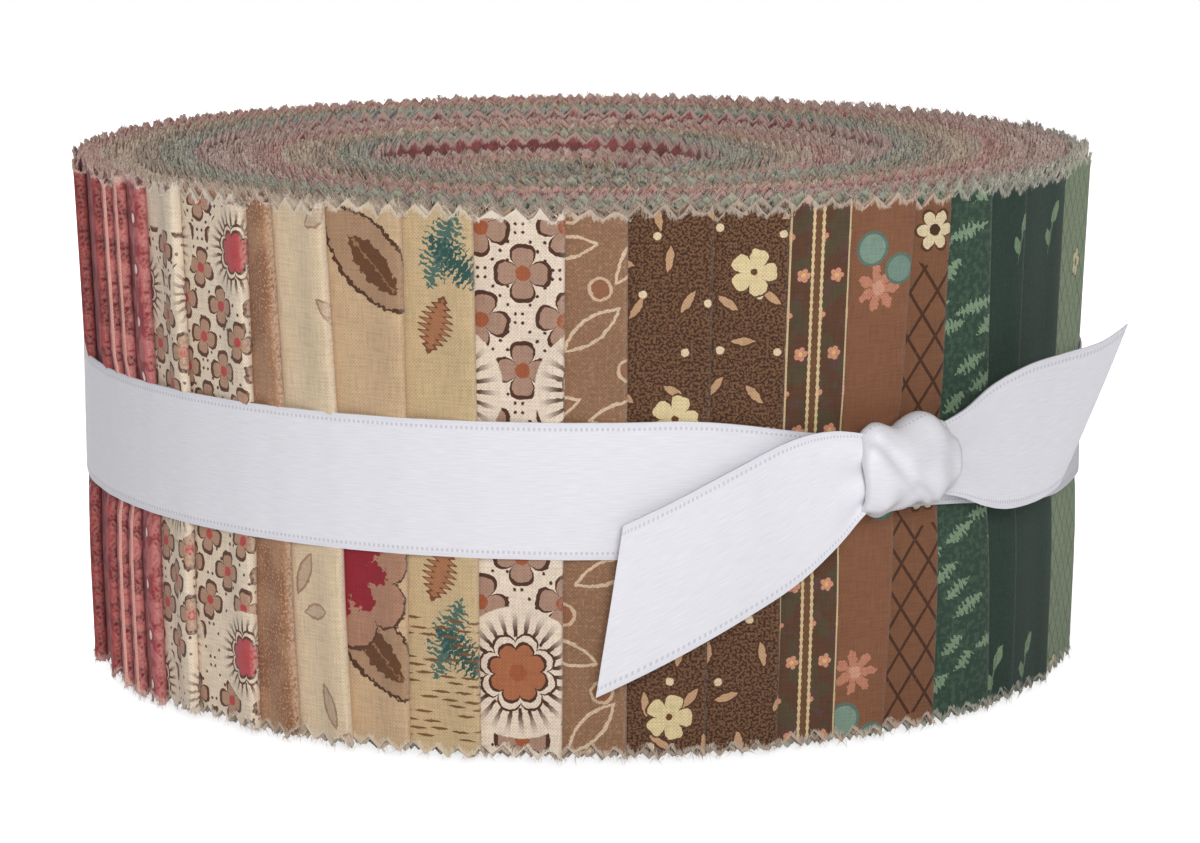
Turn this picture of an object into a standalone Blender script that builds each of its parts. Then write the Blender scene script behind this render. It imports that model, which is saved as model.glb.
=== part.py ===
"""A roll of forty folded cotton strips with pinked edges, tied with a satin ribbon.

Each strip is 63.5 mm wide and folded in half. The forty strips lie in one stack, which is
wound up on itself, so that every fold ends on the outside as one low upright step. The roll
stands on its end: +Z is up, the origin is the centre of its base, and the knot is near -Y.
Azimuths run from -Y towards +X.
"""

import math

import bmesh
import bpy
from mathutils import Vector

MM = 0.001

# The strips and the stack
STRIP_WIDTH = 63.5 * MM
STRIP_COUNT = 40
LAYER = 0.27 * MM
STEP = 2.0 * LAYER
STACK = STRIP_COUNT * 2.0 * LAYER
TOOTH_ANGLE = 2.5
TOOTH_DEPTH = 1.3 * MM
STEP_HALF_ANGLE = 0.09
HIDDEN_UNEVENNESS = 1.4
HIDDEN_LEAN = 0.9

# Free ends that face the front: azimuth at the top edge, azimuth at the bottom edge, in degrees
FRONT_ENDS = (
    (-73.7, -73.2),
    (-65.0, -64.6),
    (-61.7, -61.0),
    (-58.4, -57.6),
    (-53.7, -53.2),
    (-47.0, -46.6),
    (-36.9, -37.0),
    (-33.6, -31.4),
    (-27.0, -24.9),
    (-18.3, -18.3),
    (-10.9, -10.6),
    (-1.7, -2.2),
    (4.5, 4.5),
    (13.2, 12.8),
    (21.2, 20.7),
    (28.3, 27.4),
    (36.3, 33.6),
    (41.3, 40.8),
    (47.8, 50.4),
    (54.6, 55.6),
    (64.8, 65.2),
    (78.5, 78.0),
)

# The outer wall: height and radius of each level, slack at the top and drawn in at the tie
WALL_LEVELS = (
    (0.0 * MM, 61.5 * MM),
    (16.0 * MM, 61.9 * MM),
    (31.8 * MM, 61.6 * MM),
    (47.5 * MM, 62.1 * MM),
    (63.5 * MM, 62.7 * MM),
)

# The wound ends of the stack, seen from above
RIM_WIDTH = 2.0 * MM
RIM_FALL = 0.6 * MM
BASE_INSET = 1.6 * MM
TURN_FALL = 1.2 * MM
TURN_TOOTH = 0.5 * MM
TURNS_SHOWN = 2.4
LEDGE_START = 150.0
CORE_FALL = 0.8 * MM

# The ribbon
RIBBON_HEIGHT = 31.8 * MM
RIBBON_WIDTH = 15.4 * MM
RIBBON_THICKNESS = 0.9 * MM
RIBBON_GAP = 0.35 * MM
RIBBON_SEGMENTS = 96
PINCHED_WIDTH = 9.0 * MM
PINCH_REACH = 21.0
KNOT_AZIMUTH = 31.6
KNOT_HEIGHT = 32.7 * MM
KNOT_CLEARANCE = 0.3 * MM
KNOT_SINK = 0.8 * MM

# Lobes of the knot: azimuth and height from its middle, then half width, half height, half depth
KNOT_LOBES = (
    (1.3, 0.0 * MM, 5.0 * MM, 6.1 * MM, 3.8 * MM),
    (-3.0, -0.4 * MM, 4.4 * MM, 5.4 * MM, 3.2 * MM),
    (4.2, 0.6 * MM, 3.0 * MM, 4.6 * MM, 2.6 * MM),
)

# Tail edges from the knot outwards: azimuth, height and distance off the wall of the upper
# edge, then the same of the lower edge
LEFT_TAIL = (
    (32.5, 36.2 * MM, 2.9 * MM, 32.5, 29.0 * MM, 2.9 * MM),
    (28.6, 37.4 * MM, 2.6 * MM, 28.8, 27.0 * MM, 2.5 * MM),
    (24.6, 38.0 * MM, 2.2 * MM, 25.6, 23.9 * MM, 2.2 * MM),
    (20.6, 36.9 * MM, 2.1 * MM, 21.6, 20.7 * MM, 2.2 * MM),
    (14.6, 33.9 * MM, 2.1 * MM, 15.0, 16.6 * MM, 2.3 * MM),
    (9.0, 30.9 * MM, 2.2 * MM, 8.0, 12.7 * MM, 2.6 * MM),
    (3.9, 28.4 * MM, 2.5 * MM, 1.2, 9.2 * MM, 3.2 * MM),
)
RIGHT_TAIL = (
    (33.0, 35.6 * MM, 2.9 * MM, 33.0, 30.4 * MM, 2.9 * MM),
    (37.2, 36.8 * MM, 2.9 * MM, 37.2, 29.6 * MM, 2.9 * MM),
    (41.4, 38.4 * MM, 3.0 * MM, 41.4, 28.4 * MM, 3.0 * MM),
    (45.6, 40.9 * MM, 3.3 * MM, 44.4, 26.9 * MM, 3.2 * MM),
    (50.6, 42.6 * MM, 4.3 * MM, 47.4, 26.1 * MM, 3.7 * MM),
    (55.6, 43.3 * MM, 5.7 * MM, 50.3, 26.2 * MM, 4.4 * MM),
    (60.2, 44.0 * MM, 7.6 * MM, 52.6, 26.8 * MM, 5.1 * MM),
    (63.5, 45.6 * MM, 9.2 * MM, 54.5, 27.7 * MM, 5.6 * MM),
)

FABRIC_COLOUR = (0.47, 0.34, 0.22, 1.0)
SATIN_COLOUR = (0.86, 0.86, 0.88, 1.0)


def clear_scene():
    for existing in list(bpy.data.objects):
        bpy.data.objects.remove(existing, do_unlink=True)


def make_collection(name):
    collection = bpy.data.collections.new(name)
    bpy.context.scene.collection.children.link(collection)
    return collection


def make_material(name, colour, roughness):
    material = bpy.data.materials.new(name)
    material.use_nodes = True
    shader = material.node_tree.nodes["Principled BSDF"]
    shader.inputs["Base Color"].default_value = colour
    shader.inputs["Roughness"].default_value = roughness
    shader.inputs["Metallic"].default_value = 0.0
    return material


def cylinder_point(azimuth, radius, height):
    """A point from its azimuth in degrees, its radius and its height."""
    turn = math.radians(azimuth)
    return Vector((radius * math.sin(turn), -radius * math.cos(turn), height))


def between_rows(rows, place):
    """The values at a place on a table's first column, between the two rows around it."""
    for low, high in zip(rows, rows[1:]):
        if place <= high[0]:
            share = (place - low[0]) / (high[0] - low[0])
            return [a + share * (b - a) for a, b in zip(low, high)]
    return list(rows[-1])


def finish_object(name, mesh, collection, material):
    """Turns the faces outwards and puts the mesh in an object of its own."""
    bmesh.ops.recalc_face_normals(mesh, faces=mesh.faces)
    data = bpy.data.meshes.new(name)
    mesh.to_mesh(data)
    mesh.free()
    data.materials.append(material)
    made = bpy.data.objects.new(name, data)
    collection.objects.link(made)
    return made


def strip_ends():
    """Every strip's free end, as azimuths at the top and bottom edge, once round the roll."""
    hidden = STRIP_COUNT - len(FRONT_ENDS)
    first, last = FRONT_ENDS[0], FRONT_ENDS[-1]
    spacing = (360.0 + first[0] - last[0]) / (hidden + 1)
    ends = list(FRONT_ENDS)
    for number in range(1, hidden + 1):
        uneven = HIDDEN_UNEVENNESS * math.sin(2.3 * number)
        lean = HIDDEN_LEAN * math.sin(1.7 * number)
        azimuth = last[0] + spacing * number + uneven
        ends.append((azimuth, azimuth + lean))
    return ends


def wall_columns(ends):
    """Upright lines of the wall: azimuth at the top and bottom, radius offset, tooth tip or notch.

    A strip's line starts low, under the strip before it, and rises to its own free end.
    """
    columns = []
    for number, end in enumerate(ends):
        start = ends[number - 1]
        turn = 360.0 if number == 0 else 0.0
        top_start, top_end = start[0] - turn + STEP_HALF_ANGLE, end[0] - STEP_HALF_ANGLE
        low_start, low_end = start[1] - turn + STEP_HALF_ANGLE, end[1] - STEP_HALF_ANGLE
        teeth = max(1, round((top_end - top_start) / TOOTH_ANGLE))
        for half in range(2 * teeth + 1):
            share = half / (2.0 * teeth)
            columns.append(
                (
                    top_start + share * (top_end - top_start),
                    low_start + share * (low_end - low_start),
                    STEP * (share - 0.5),
                    (half + number) % 2 == 0,
                )
            )
    return columns


def extrude_ring(mesh, ring, places):
    """Extrudes a closed ring of points and moves the copies to their places, in ring order."""
    edges = [
        mesh.edges.get((point, ring[(index + 1) % len(ring)]))
        for index, point in enumerate(ring)
    ]
    column = mesh.verts.layers.int["column"]
    made = bmesh.ops.extrude_edge_only(mesh, edges=edges)["geom"]
    copies = [item for item in made if isinstance(item, bmesh.types.BMVert)]
    copies.sort(key=lambda point: point[column])
    for point, place in zip(copies, places):
        point.co = place
    return copies


def wall_place(column, height, level_height):
    """A point of the wall's upright line at a height, with the wall's radius at a level."""
    top, low, offset, _ = column
    share = height / STRIP_WIDTH
    radius = between_rows(WALL_LEVELS, level_height)[1] + offset
    return cylinder_point(low + share * (top - low), radius, height)


def make_wound_end(mesh, rim, columns):
    """The upper end, where the stack winds inwards and each turn lies a little lower.

    One ledge line runs from the rim to the core, against the azimuths. It is a spiral, so its
    faces are made one by one between the points of its upper and lower edges.
    """
    count = len(columns)
    nearest = min(range(count), key=lambda n: abs(columns[n][0] - LEDGE_START))
    order = [(nearest - number) % count for number in range(count)]
    rim = [rim[index] for index in order]
    outer = WALL_LEVELS[-1][1] - 2.0 * RIM_WIDTH
    surface = STRIP_WIDTH - RIM_FALL
    last = int(TURNS_SHOWN * count)
    upper, lower = [], []
    for number in range(last + 1):
        azimuth, _, _, tip = columns[order[number % count]]
        turns = number // count + ((columns[nearest][0] - azimuth) % 360.0) / 360.0
        radius = outer - STACK * turns
        tooth = TURN_TOOTH if tip and number % count else 0.0
        height = surface - TURN_FALL * max(0.0, turns - 1.0)
        upper.append(mesh.verts.new(cylinder_point(azimuth, radius, height + tooth)))
        if number == 0:
            lower.append(upper[0])
            continue
        height = surface - TURN_FALL * turns
        lower.append(mesh.verts.new(cylinder_point(azimuth, radius - LAYER, height)))
    for number in range(count - 1):
        mesh.faces.new((rim[number], rim[number + 1], upper[number + 1], upper[number]))
    mesh.faces.new((rim[-1], rim[0], upper[0], upper[count], upper[count - 1]))
    mesh.faces.new((upper[0], upper[1], lower[1]))
    for number in range(1, last):
        mesh.faces.new((upper[number], upper[number + 1], lower[number + 1], lower[number]))
    for number in range(last - count):
        inner = number + count
        mesh.faces.new((lower[number], lower[number + 1], upper[inner + 1], upper[inner]))
    core_height = surface - TURN_FALL * TURNS_SHOWN - CORE_FALL
    core = mesh.verts.new(Vector((0.0, 0.0, core_height)))
    for number in range(last - count, last):
        mesh.faces.new((lower[number], lower[number + 1], core))
    mesh.faces.new((lower[last], upper[last], core))
    mesh.faces.new((upper[last], lower[last - count], core))


def make_roll(collection, material):
    """The wound roll: a flat base, a wall with a step at each free end, and a spiral top."""
    columns = wall_columns(strip_ends())
    mesh = bmesh.new()
    column = mesh.verts.layers.int.new("column")
    made = bmesh.ops.create_circle(mesh, cap_ends=True, segments=len(columns), radius=1.0)
    ring = sorted(made["verts"], key=lambda point: math.atan2(point.co.y, point.co.x))
    base_radius = WALL_LEVELS[0][1] - BASE_INSET
    for number, point in enumerate(ring):
        point[column] = number
        point.co = cylinder_point(columns[number][1], base_radius, 0.0)
    notch = [0.0 if tip else TOOTH_DEPTH for _, _, _, tip in columns]
    low = [wall_place(c, n, 0.0) for c, n in zip(columns, notch)]
    ring = extrude_ring(mesh, ring, low)
    for height, _ in WALL_LEVELS[1:-1]:
        ring = extrude_ring(mesh, ring, [wall_place(c, height, height) for c in columns])
    top = [wall_place(c, STRIP_WIDTH - n, STRIP_WIDTH) for c, n in zip(columns, notch)]
    ring = extrude_ring(mesh, ring, top)
    rim_radius = WALL_LEVELS[-1][1] - RIM_WIDTH
    rim = [cylinder_point(c[0], rim_radius, STRIP_WIDTH - RIM_FALL) for c in columns]
    ring = extrude_ring(mesh, ring, rim)
    make_wound_end(mesh, ring, columns)
    return finish_object("strip_roll", mesh, collection, material)


def ribbon_inner_radius():
    """The radius that clears every step of the wall under the ribbon."""
    lowest, highest = RIBBON_HEIGHT - RIBBON_WIDTH / 2, RIBBON_HEIGHT + RIBBON_WIDTH / 2
    levels = [lowest, highest] + [row[0] for row in WALL_LEVELS if lowest < row[0] < highest]
    wall = max(between_rows(WALL_LEVELS, level)[1] for level in levels)
    return wall + STEP / 2 + RIBBON_GAP


def thicken(made, thickness, offset):
    modifier = made.modifiers.new("thickness", "SOLIDIFY")
    modifier.thickness = thickness
    modifier.offset = offset
    return made


def make_band(collection, material):
    """The ribbon's one turn round the roll, gathered narrower on both sides of the knot."""
    mesh = bmesh.new()
    bmesh.ops.create_cone(
        mesh,
        cap_ends=False,
        segments=RIBBON_SEGMENTS,
        radius1=1.0,
        radius2=1.0,
        depth=1.0,
    )
    upright = [edge for edge in mesh.edges if abs(edge.verts[0].co.z - edge.verts[1].co.z) > 0.5]
    bmesh.ops.subdivide_edges(mesh, edges=upright, cuts=2)
    for point in mesh.verts:
        azimuth = math.degrees(math.atan2(point.co.x, -point.co.y))
        away = abs(azimuth - KNOT_AZIMUTH)
        away = min(away, 360.0 - away) / PINCH_REACH
        ease = 0.5 - 0.5 * math.cos(math.pi * min(1.0, away))
        width = PINCHED_WIDTH + ease * (RIBBON_WIDTH - PINCHED_WIDTH)
        middle = KNOT_HEIGHT + ease * (RIBBON_HEIGHT - KNOT_HEIGHT)
        point.co = cylinder_point(azimuth, ribbon_inner_radius(), middle + width * point.co.z)
    band = finish_object("ribbon_tie", mesh, collection, material)
    return thicken(band, RIBBON_THICKNESS, 1.0)


def make_tail(name, rows, collection, material):
    """A flat tail between two edges that run out from the knot, its end cut on a slant."""
    mesh = bmesh.new()
    bmesh.ops.create_grid(mesh, x_segments=2 * (len(rows) - 1), y_segments=4, size=0.5)
    numbered = [(float(number), *row) for number, row in enumerate(rows)]
    for point in mesh.verts:
        row = between_rows(numbered, (point.co.x + 0.5) * (len(rows) - 1))[1:]
        across = point.co.y + 0.5
        azimuth, height, off = [a + across * (b - a) for a, b in zip(row[:3], row[3:])]
        point.co = cylinder_point(azimuth, ribbon_inner_radius() + off, height)
    tail = finish_object(name, mesh, collection, material)
    return thicken(tail, RIBBON_THICKNESS, 0.0)


def make_lobe(name, lobe, collection, material):
    """One swelling of the overhand knot, pressed flat where it lies on the roll."""
    azimuth, height, half_width, half_height, half_depth = lobe
    inner = ribbon_inner_radius()
    middle = inner + RIBBON_THICKNESS + half_depth - KNOT_SINK
    mesh = bmesh.new()
    bmesh.ops.create_uvsphere(mesh, u_segments=18, v_segments=10, radius=1.0)
    for point in mesh.verts:
        around = math.degrees(point.co.x * half_width / middle)
        radius = max(inner + KNOT_CLEARANCE, middle + point.co.y * half_depth)
        level = KNOT_HEIGHT + height + point.co.z * half_height
        point.co = cylinder_point(KNOT_AZIMUTH + azimuth + around, radius, level)
    return finish_object(name, mesh, collection, material)


def join_to(main, other):
    """Joins a piece to the main one as a single solid, with a Boolean union."""
    union = main.modifiers.new(other.name, "BOOLEAN")
    union.operation = "UNION"
    union.solver = "EXACT"
    union.object = other
    other.hide_render = True
    other.display_type = "WIRE"


def make_ribbon(collection, joined_pieces, material):
    """The ribbon: one turn, an overhand knot and two free tails, all one solid."""
    band = make_band(collection, material)
    pieces = [
        make_lobe(f"knot_lobe_{number}", lobe, joined_pieces, material)
        for number, lobe in enumerate(KNOT_LOBES)
    ]
    pieces.append(make_tail("left_tail", LEFT_TAIL, joined_pieces, material))
    pieces.append(make_tail("right_tail", RIGHT_TAIL, joined_pieces, material))
    for piece in pieces:
        join_to(band, piece)
    return band


clear_scene()
roll_collection = make_collection("fabric_strip_roll")
joined_collection = make_collection("joined_pieces")
make_roll(roll_collection, make_material("printed_cotton", FABRIC_COLOUR, 0.9))
make_ribbon(roll_collection, joined_collection, make_material("white_satin", SATIN_COLOUR, 0.35))
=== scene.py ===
import bisect
import math
import random

import bpy
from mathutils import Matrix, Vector, noise


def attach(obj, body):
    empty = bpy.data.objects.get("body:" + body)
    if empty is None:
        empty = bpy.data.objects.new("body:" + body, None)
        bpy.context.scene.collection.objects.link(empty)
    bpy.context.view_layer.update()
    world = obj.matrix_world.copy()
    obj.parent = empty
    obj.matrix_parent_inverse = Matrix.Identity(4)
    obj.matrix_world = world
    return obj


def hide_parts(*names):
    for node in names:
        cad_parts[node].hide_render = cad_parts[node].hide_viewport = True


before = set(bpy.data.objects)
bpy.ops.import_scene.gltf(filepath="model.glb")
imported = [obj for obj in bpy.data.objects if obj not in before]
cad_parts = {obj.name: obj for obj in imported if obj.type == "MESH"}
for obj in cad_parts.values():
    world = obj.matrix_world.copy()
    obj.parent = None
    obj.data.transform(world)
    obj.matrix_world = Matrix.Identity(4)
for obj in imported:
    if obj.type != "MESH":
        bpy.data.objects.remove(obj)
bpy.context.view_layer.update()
bpy.ops.object.select_all(action="DESELECT")

# The red and pink strips
# The first of forty strips of printed cotton, cut 63.5 mm wide with pinked edges and folded in
# half. They are wound up in one stack, so that each fold ends outside as one low upright step.
MM = 0.001
STRIP_WIDTH = 63.5 * MM
STRIP_LENGTH = 1118.0 * MM
STRIP_COUNT = 40
LAYER = 0.27 * MM
STEP = 2.0 * LAYER
CLOTH = 0.235 * MM
STACK = STRIP_COUNT * STEP
STACK_START = 150.0

# Folds that face the front: azimuth at the top edge and at the bottom edge, in degrees. The folds
# round the back are spaced evenly, but for a little unevenness and lean.
FRONT_FOLDS = (
    (-73.7, -73.2), (-65.0, -64.6), (-61.7, -61.0), (-58.4, -57.6), (-53.7, -53.2),
    (-47.0, -46.6), (-36.9, -37.0), (-33.6, -31.4), (-27.0, -24.9), (-18.3, -18.3),
    (-10.9, -10.6), (-1.7, -2.2), (4.5, 4.5), (13.2, 12.8), (21.2, 20.7), (28.3, 27.4),
    (36.3, 33.6), (41.3, 40.8), (47.8, 50.4), (54.6, 55.6), (64.8, 65.2), (78.5, 78.0),
)
BACK_UNEVENNESS = 1.4
BACK_LEAN = 0.9

# The outer wall: height and radius of each level, slack at the top and drawn in at the ribbon
WALL_LEVELS = (
    (0.0 * MM, 61.5 * MM), (16.0 * MM, 61.9 * MM), (31.8 * MM, 61.6 * MM),
    (47.5 * MM, 62.1 * MM), (63.5 * MM, 62.7 * MM),
)
WALL_RADIUS = 62.2 * MM

# The wound ends: each turn of the stack lies lower than the one outside it. The turns sway a
# little, and the steps of the stack even out towards the core.
TURN_FALLS = ((-1.0, 0.0), (0.0, 0.0), (1.0, 1.2 * MM), (1.9, 3.0 * MM), (3.0, 3.6 * MM))
OUTER_RISE = 0.8 * MM
OUTER_RISE_DEPTH = 5.0 * MM
HEIGHT_SPREAD = 0.45 * MM
CORE_CIRCLE = STACK / (2.0 * math.pi)
CORE_LEFT_OPEN = 0.8 * MM
SWAY = 0.45 * MM
SWAY_DEPTH, SWAY_CORE = 14.0 * MM, 12.0 * MM
EVEN_OVER, EVEN_STEP = 36, 6
UNEVEN_DEPTH = 12.0 * MM

# The pinked edge, and the fold, which stands a little open and is pressed flat by the ribbon
TOOTH = 2.7 * MM
TOOTH_DEPTH = 1.3 * MM
TOOTH_ROW = 2.1 * MM
TOOTH_JITTER = 0.26 * MM
TOOTH_WEAR = 0.5
FOLD_COLUMNS = (0.0, 0.1, 0.22, 0.36, 0.6, 1.0, 1.5, 2.1, 2.7, 3.4)
FOLD_TURN = 0.45 * MM
FOLD_PUFF = ((0, 0.95 * MM), (8, 0.95 * MM), (12, 0.4 * MM), (20, 0.3 * MM), (24, 0.5 * MM))
FOLD_PUFF_FROM, FOLD_PUFF_LENGTH = 1.0 * MM, 5.0 * MM
SHOWN_LENGTH = 18.0 * MM
SHOWN_CUTS = 5
PRESSED_FROM, PRESSED_TO, PRESS_EASE = 22.5 * MM, 41.0 * MM, 4.0 * MM
PRESSED_FLAT = 0.88
HEIGHT_DRIFT = 0.25 * MM
CUT_SHOWN = 4.0 * MM
ROWS_UP = 4
SMOOTH_UNDER = math.radians(50.0)
WAIST = 31.8 * MM


def between_rows(rows, place):
    """The second column's value at a place on the first, between the two rows around it."""
    for low, high in zip(rows, rows[1:]):
        if place <= high[0]:
            share = max(0.0, (place - low[0]) / (high[0] - low[0]))
            return low[1] + share * (high[1] - low[1])
    return rows[-1][1]


def ease(share):
    share = min(1.0, max(0.0, share))
    return share * share * (3.0 - 2.0 * share)


def cylinder_point(azimuth, radius, height):
    """A point from its azimuth in degrees from -Y towards +X, its radius and its height."""
    turn = math.radians(azimuth)
    return Vector((radius * math.sin(turn), -radius * math.cos(turn), height))


all_folds = list(FRONT_FOLDS)
back_count = STRIP_COUNT - len(FRONT_FOLDS)
back_spacing = (360.0 + FRONT_FOLDS[0][0] - FRONT_FOLDS[-1][0]) / (back_count + 1)
for place in range(1, back_count + 1):
    azimuth = FRONT_FOLDS[-1][0] + back_spacing * place + BACK_UNEVENNESS * math.sin(2.3 * place)
    all_folds.append((azimuth, azimuth + BACK_LEAN * math.sin(1.7 * place)))
winding_order = sorted(
    range(STRIP_COUNT), key=lambda number: (all_folds[number][0] - STACK_START) % 360.0
)
fold_places = [
    STACK_START + (all_folds[number][0] - STACK_START) % 360.0 for number in winding_order
]
fold_leans = [all_folds[number][1] - all_folds[number][0] for number in winding_order]


def folds_at(share):
    """Every fold's azimuth at a share of the height, with the last one of the turn before."""
    folds = [top + (1.0 - share) * lean for top, lean in zip(fold_places, fold_leans)]
    return [folds[-1] - 360.0] + folds


def stack_place(azimuth, folds):
    """The strip that lies outermost at an azimuth, as a number that grows along the winding."""
    turns = math.ceil((azimuth - folds[-1]) / 360.0)
    within = azimuth - 360.0 * turns
    above = max(1, bisect.bisect_left(folds, within))
    share = (within - folds[above - 1]) / (folds[above] - folds[above - 1])
    return STRIP_COUNT * turns + above - 2 + share


top_folds = folds_at(1.0)
even_places = []
for degree in range(360):
    azimuth = STACK_START + degree
    nearby = [
        stack_place(azimuth + away, top_folds)
        for away in range(-EVEN_OVER, EVEN_OVER + 1, EVEN_STEP)
    ]
    even_places.append(sum(nearby) / len(nearby) - azimuth * STRIP_COUNT / 360.0)


def even_place(azimuth):
    within = (azimuth - STACK_START) % 360.0
    low = int(within) % 360
    share = within - int(within)
    uneven = even_places[low] + share * (even_places[(low + 1) % 360] - even_places[low])
    return azimuth * STRIP_COUNT / 360.0 + uneven


def layer_radius(order, azimuth, folds):
    """The radius of a strip's outer face: each strip of the stack lies a step under the last."""
    even = even_place(azimuth)
    uneven = stack_place(azimuth, folds) - even
    depth = max(0.0, (order - even) * STEP)
    place = even + uneven * max(0.0, 1.0 - depth / UNEVEN_DEPTH)
    return WALL_RADIUS + STEP / 2.0 - STEP * (order - place)


def roll_place(azimuth, radius):
    """Azimuth and radius with the innermost turns opened out, so that the cloth stays as thick."""
    opened = math.hypot(radius, CORE_CIRCLE) + WALL_RADIUS - math.hypot(WALL_RADIUS, CORE_CIRCLE)
    turned = math.atan2(CORE_CIRCLE, radius) - math.atan2(CORE_CIRCLE, WALL_RADIUS)
    around = math.radians(azimuth) + turned
    depth = WALL_RADIUS - radius
    swing = SWAY * ease(depth / SWAY_DEPTH) * min(1.0, radius / SWAY_CORE)
    opened += swing * math.sin(4.0 * around + 90.0 * radius)
    opened += 0.6 * swing * math.sin(9.0 * around - 70.0 * radius + 1.0)
    return math.degrees(around), opened


def winding_table(order):
    """Arc length back from the fold against azimuth, down to the core."""
    folds = folds_at(0.5)
    azimuth = fold_places[order] + 0.5 * fold_leans[order]
    lengths, azimuths = [0.0], [azimuth]
    last = cylinder_point(*roll_place(azimuth, layer_radius(order, azimuth, folds)), 0.0)
    while lengths[-1] < STRIP_LENGTH:
        azimuth -= 1.0
        radius = layer_radius(order, azimuth, folds)
        if radius < CORE_LEFT_OPEN:
            break
        point = cylinder_point(*roll_place(azimuth, radius), 0.0)
        lengths.append(lengths[-1] + (point - last).length)
        azimuths.append(azimuths[0] - len(lengths) + 1.0)
        last = point
    return lengths, azimuths


def tooth_fall(arc, phase):
    """How far the pinked edge lies inside the cut's line at a place along the strip."""
    worn = 1.0 + TOOTH_WEAR * noise.noise(Vector((1.7 * arc / TOOTH, 90.0 * phase, 5.0)))
    return TOOTH_DEPTH * worn * abs(2.0 * ((arc / TOOTH + phase) % 1.0) - 1.0)


def fold_puff(number, arc, height):
    """How far the two layers stand apart near the fold, less where the ribbon presses them."""
    along = ease(1.0 - (abs(arc) - FOLD_PUFF_FROM) / (FOLD_PUFF_LENGTH - FOLD_PUFF_FROM))
    pressed = ease((height - PRESSED_FROM) / PRESS_EASE) * ease((PRESSED_TO - height) / PRESS_EASE)
    return between_rows(FOLD_PUFF, number) * along * (1.0 - PRESSED_FLAT * pressed)


# The strip's second map, with its outer patch at the left and the rest beside it in rows. Each
# kind of face has its first row's place, the length of strip in a row in millimetres, the rows'
# distance and the height of a row.
PATCH_SPAN, PATCH_START, PATCH_FOOT = 66.0, 1.8, 0.4
PATCH_FROM, PATCH_TO = 0.9, 0.4
ROWS_LEFT, ROWS_WIDTH, STRIP_HALF = 0.314, 0.672, 562.0
TEXTURE_ROWS = {
    ("print", "top"): (0.0, 87.0, 0.0195, 0.0164),
    ("reverse", "top"): (0.258, 87.0, 0.0195, 0.0164),
    ("edge", "top"): (0.515, 87.0, 0.004, 0.0018),
    ("print", "low"): (0.572, 174.0, 0.0112, 0.0082),
    ("reverse", "low"): (0.652, 174.0, 0.0112, 0.0082),
    ("edge", "low"): (0.732, 174.0, 0.004, 0.0018),
    ("print", "middle"): (0.765, 174.0, 0.0165, 0.0145),
    ("reverse", "middle"): (0.882, 174.0, 0.0165, 0.0145),
}
frayed_edge = []


def fold_rise(number, arc, height):
    """How far the outer face stands out at a place, from the lower layer out over the fold."""
    apart = STEP - LAYER / 4.0 + fold_puff(number, arc, height)
    rounding = math.sqrt(max(0.0, 1.0 - max(0.0, 1.0 - abs(arc) / FOLD_TURN) ** 2))
    side = 1.0 if arc <= 0.0 else -1.0
    return apart * (0.5 + 0.5 * side * rounding)


def print_places(number, arcs):
    """The print's place along the strip for each column, measured over the rounded fold."""
    rises = [fold_rise(number, arc, STRIP_WIDTH) for arc in arcs]
    places = [arcs[0]]
    for column in range(1, len(arcs)):
        step = math.hypot(arcs[column] - arcs[column - 1], rises[column] - rises[column - 1])
        places.append(places[-1] + step)
    middle = places[arcs.index(0.0)]
    return [place - middle for place in places]


def lay_texture_map(mesh, outer_count):
    """Lays each face of a strip in its own place on the texture map."""
    print_map = [Vector(loop.uv) / MM for loop in mesh.uv_layers["print"].data]
    cut = [item.value for item in mesh.attributes["cut"].data]
    texture_map = mesh.uv_layers.new(name="OFBake", do_init=False)
    for face in mesh.polygons:
        loops = list(face.loop_indices)
        points = [mesh.loops[i].vertex_index for i in loops]
        arc = sum(print_map[i].x for i in loops) / len(loops)
        height = sum(print_map[i].y for i in loops) / len(loops)
        kind = ("print", "reverse", "edge")[face.material_index]
        if kind == "print" and -SHOWN_LENGTH / MM - PATCH_FROM < arc < PATCH_TO:
            corner = Vector((SHOWN_LENGTH / MM + PATCH_START, PATCH_FOOT))
            for i in loops:
                texture_map.data[i].uv = (print_map[i] + corner) / PATCH_SPAN
            continue
        band = "top" if height > WAIST / MM else "low"
        if kind == "edge":
            across = [float(point >= outer_count) for point in points]
        elif max(cut[point] for point in points) < TOOTH_ROW / MM + 0.1:
            across = [cut[point] * MM / TOOTH_ROW for point in points]
        else:
            band = "middle"
            across = [print_map[i].y * MM / STRIP_WIDTH for i in loops]
        start, length, pitch, row_height = TEXTURE_ROWS[kind, band]
        row = (arc + STRIP_HALF) // length
        for i, share in zip(loops, across):
            along = (print_map[i].x + STRIP_HALF - row * length) / length
            place = (ROWS_LEFT + ROWS_WIDTH * along, start + pitch * row + row_height * share)
            texture_map.data[i].uv = place


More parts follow.
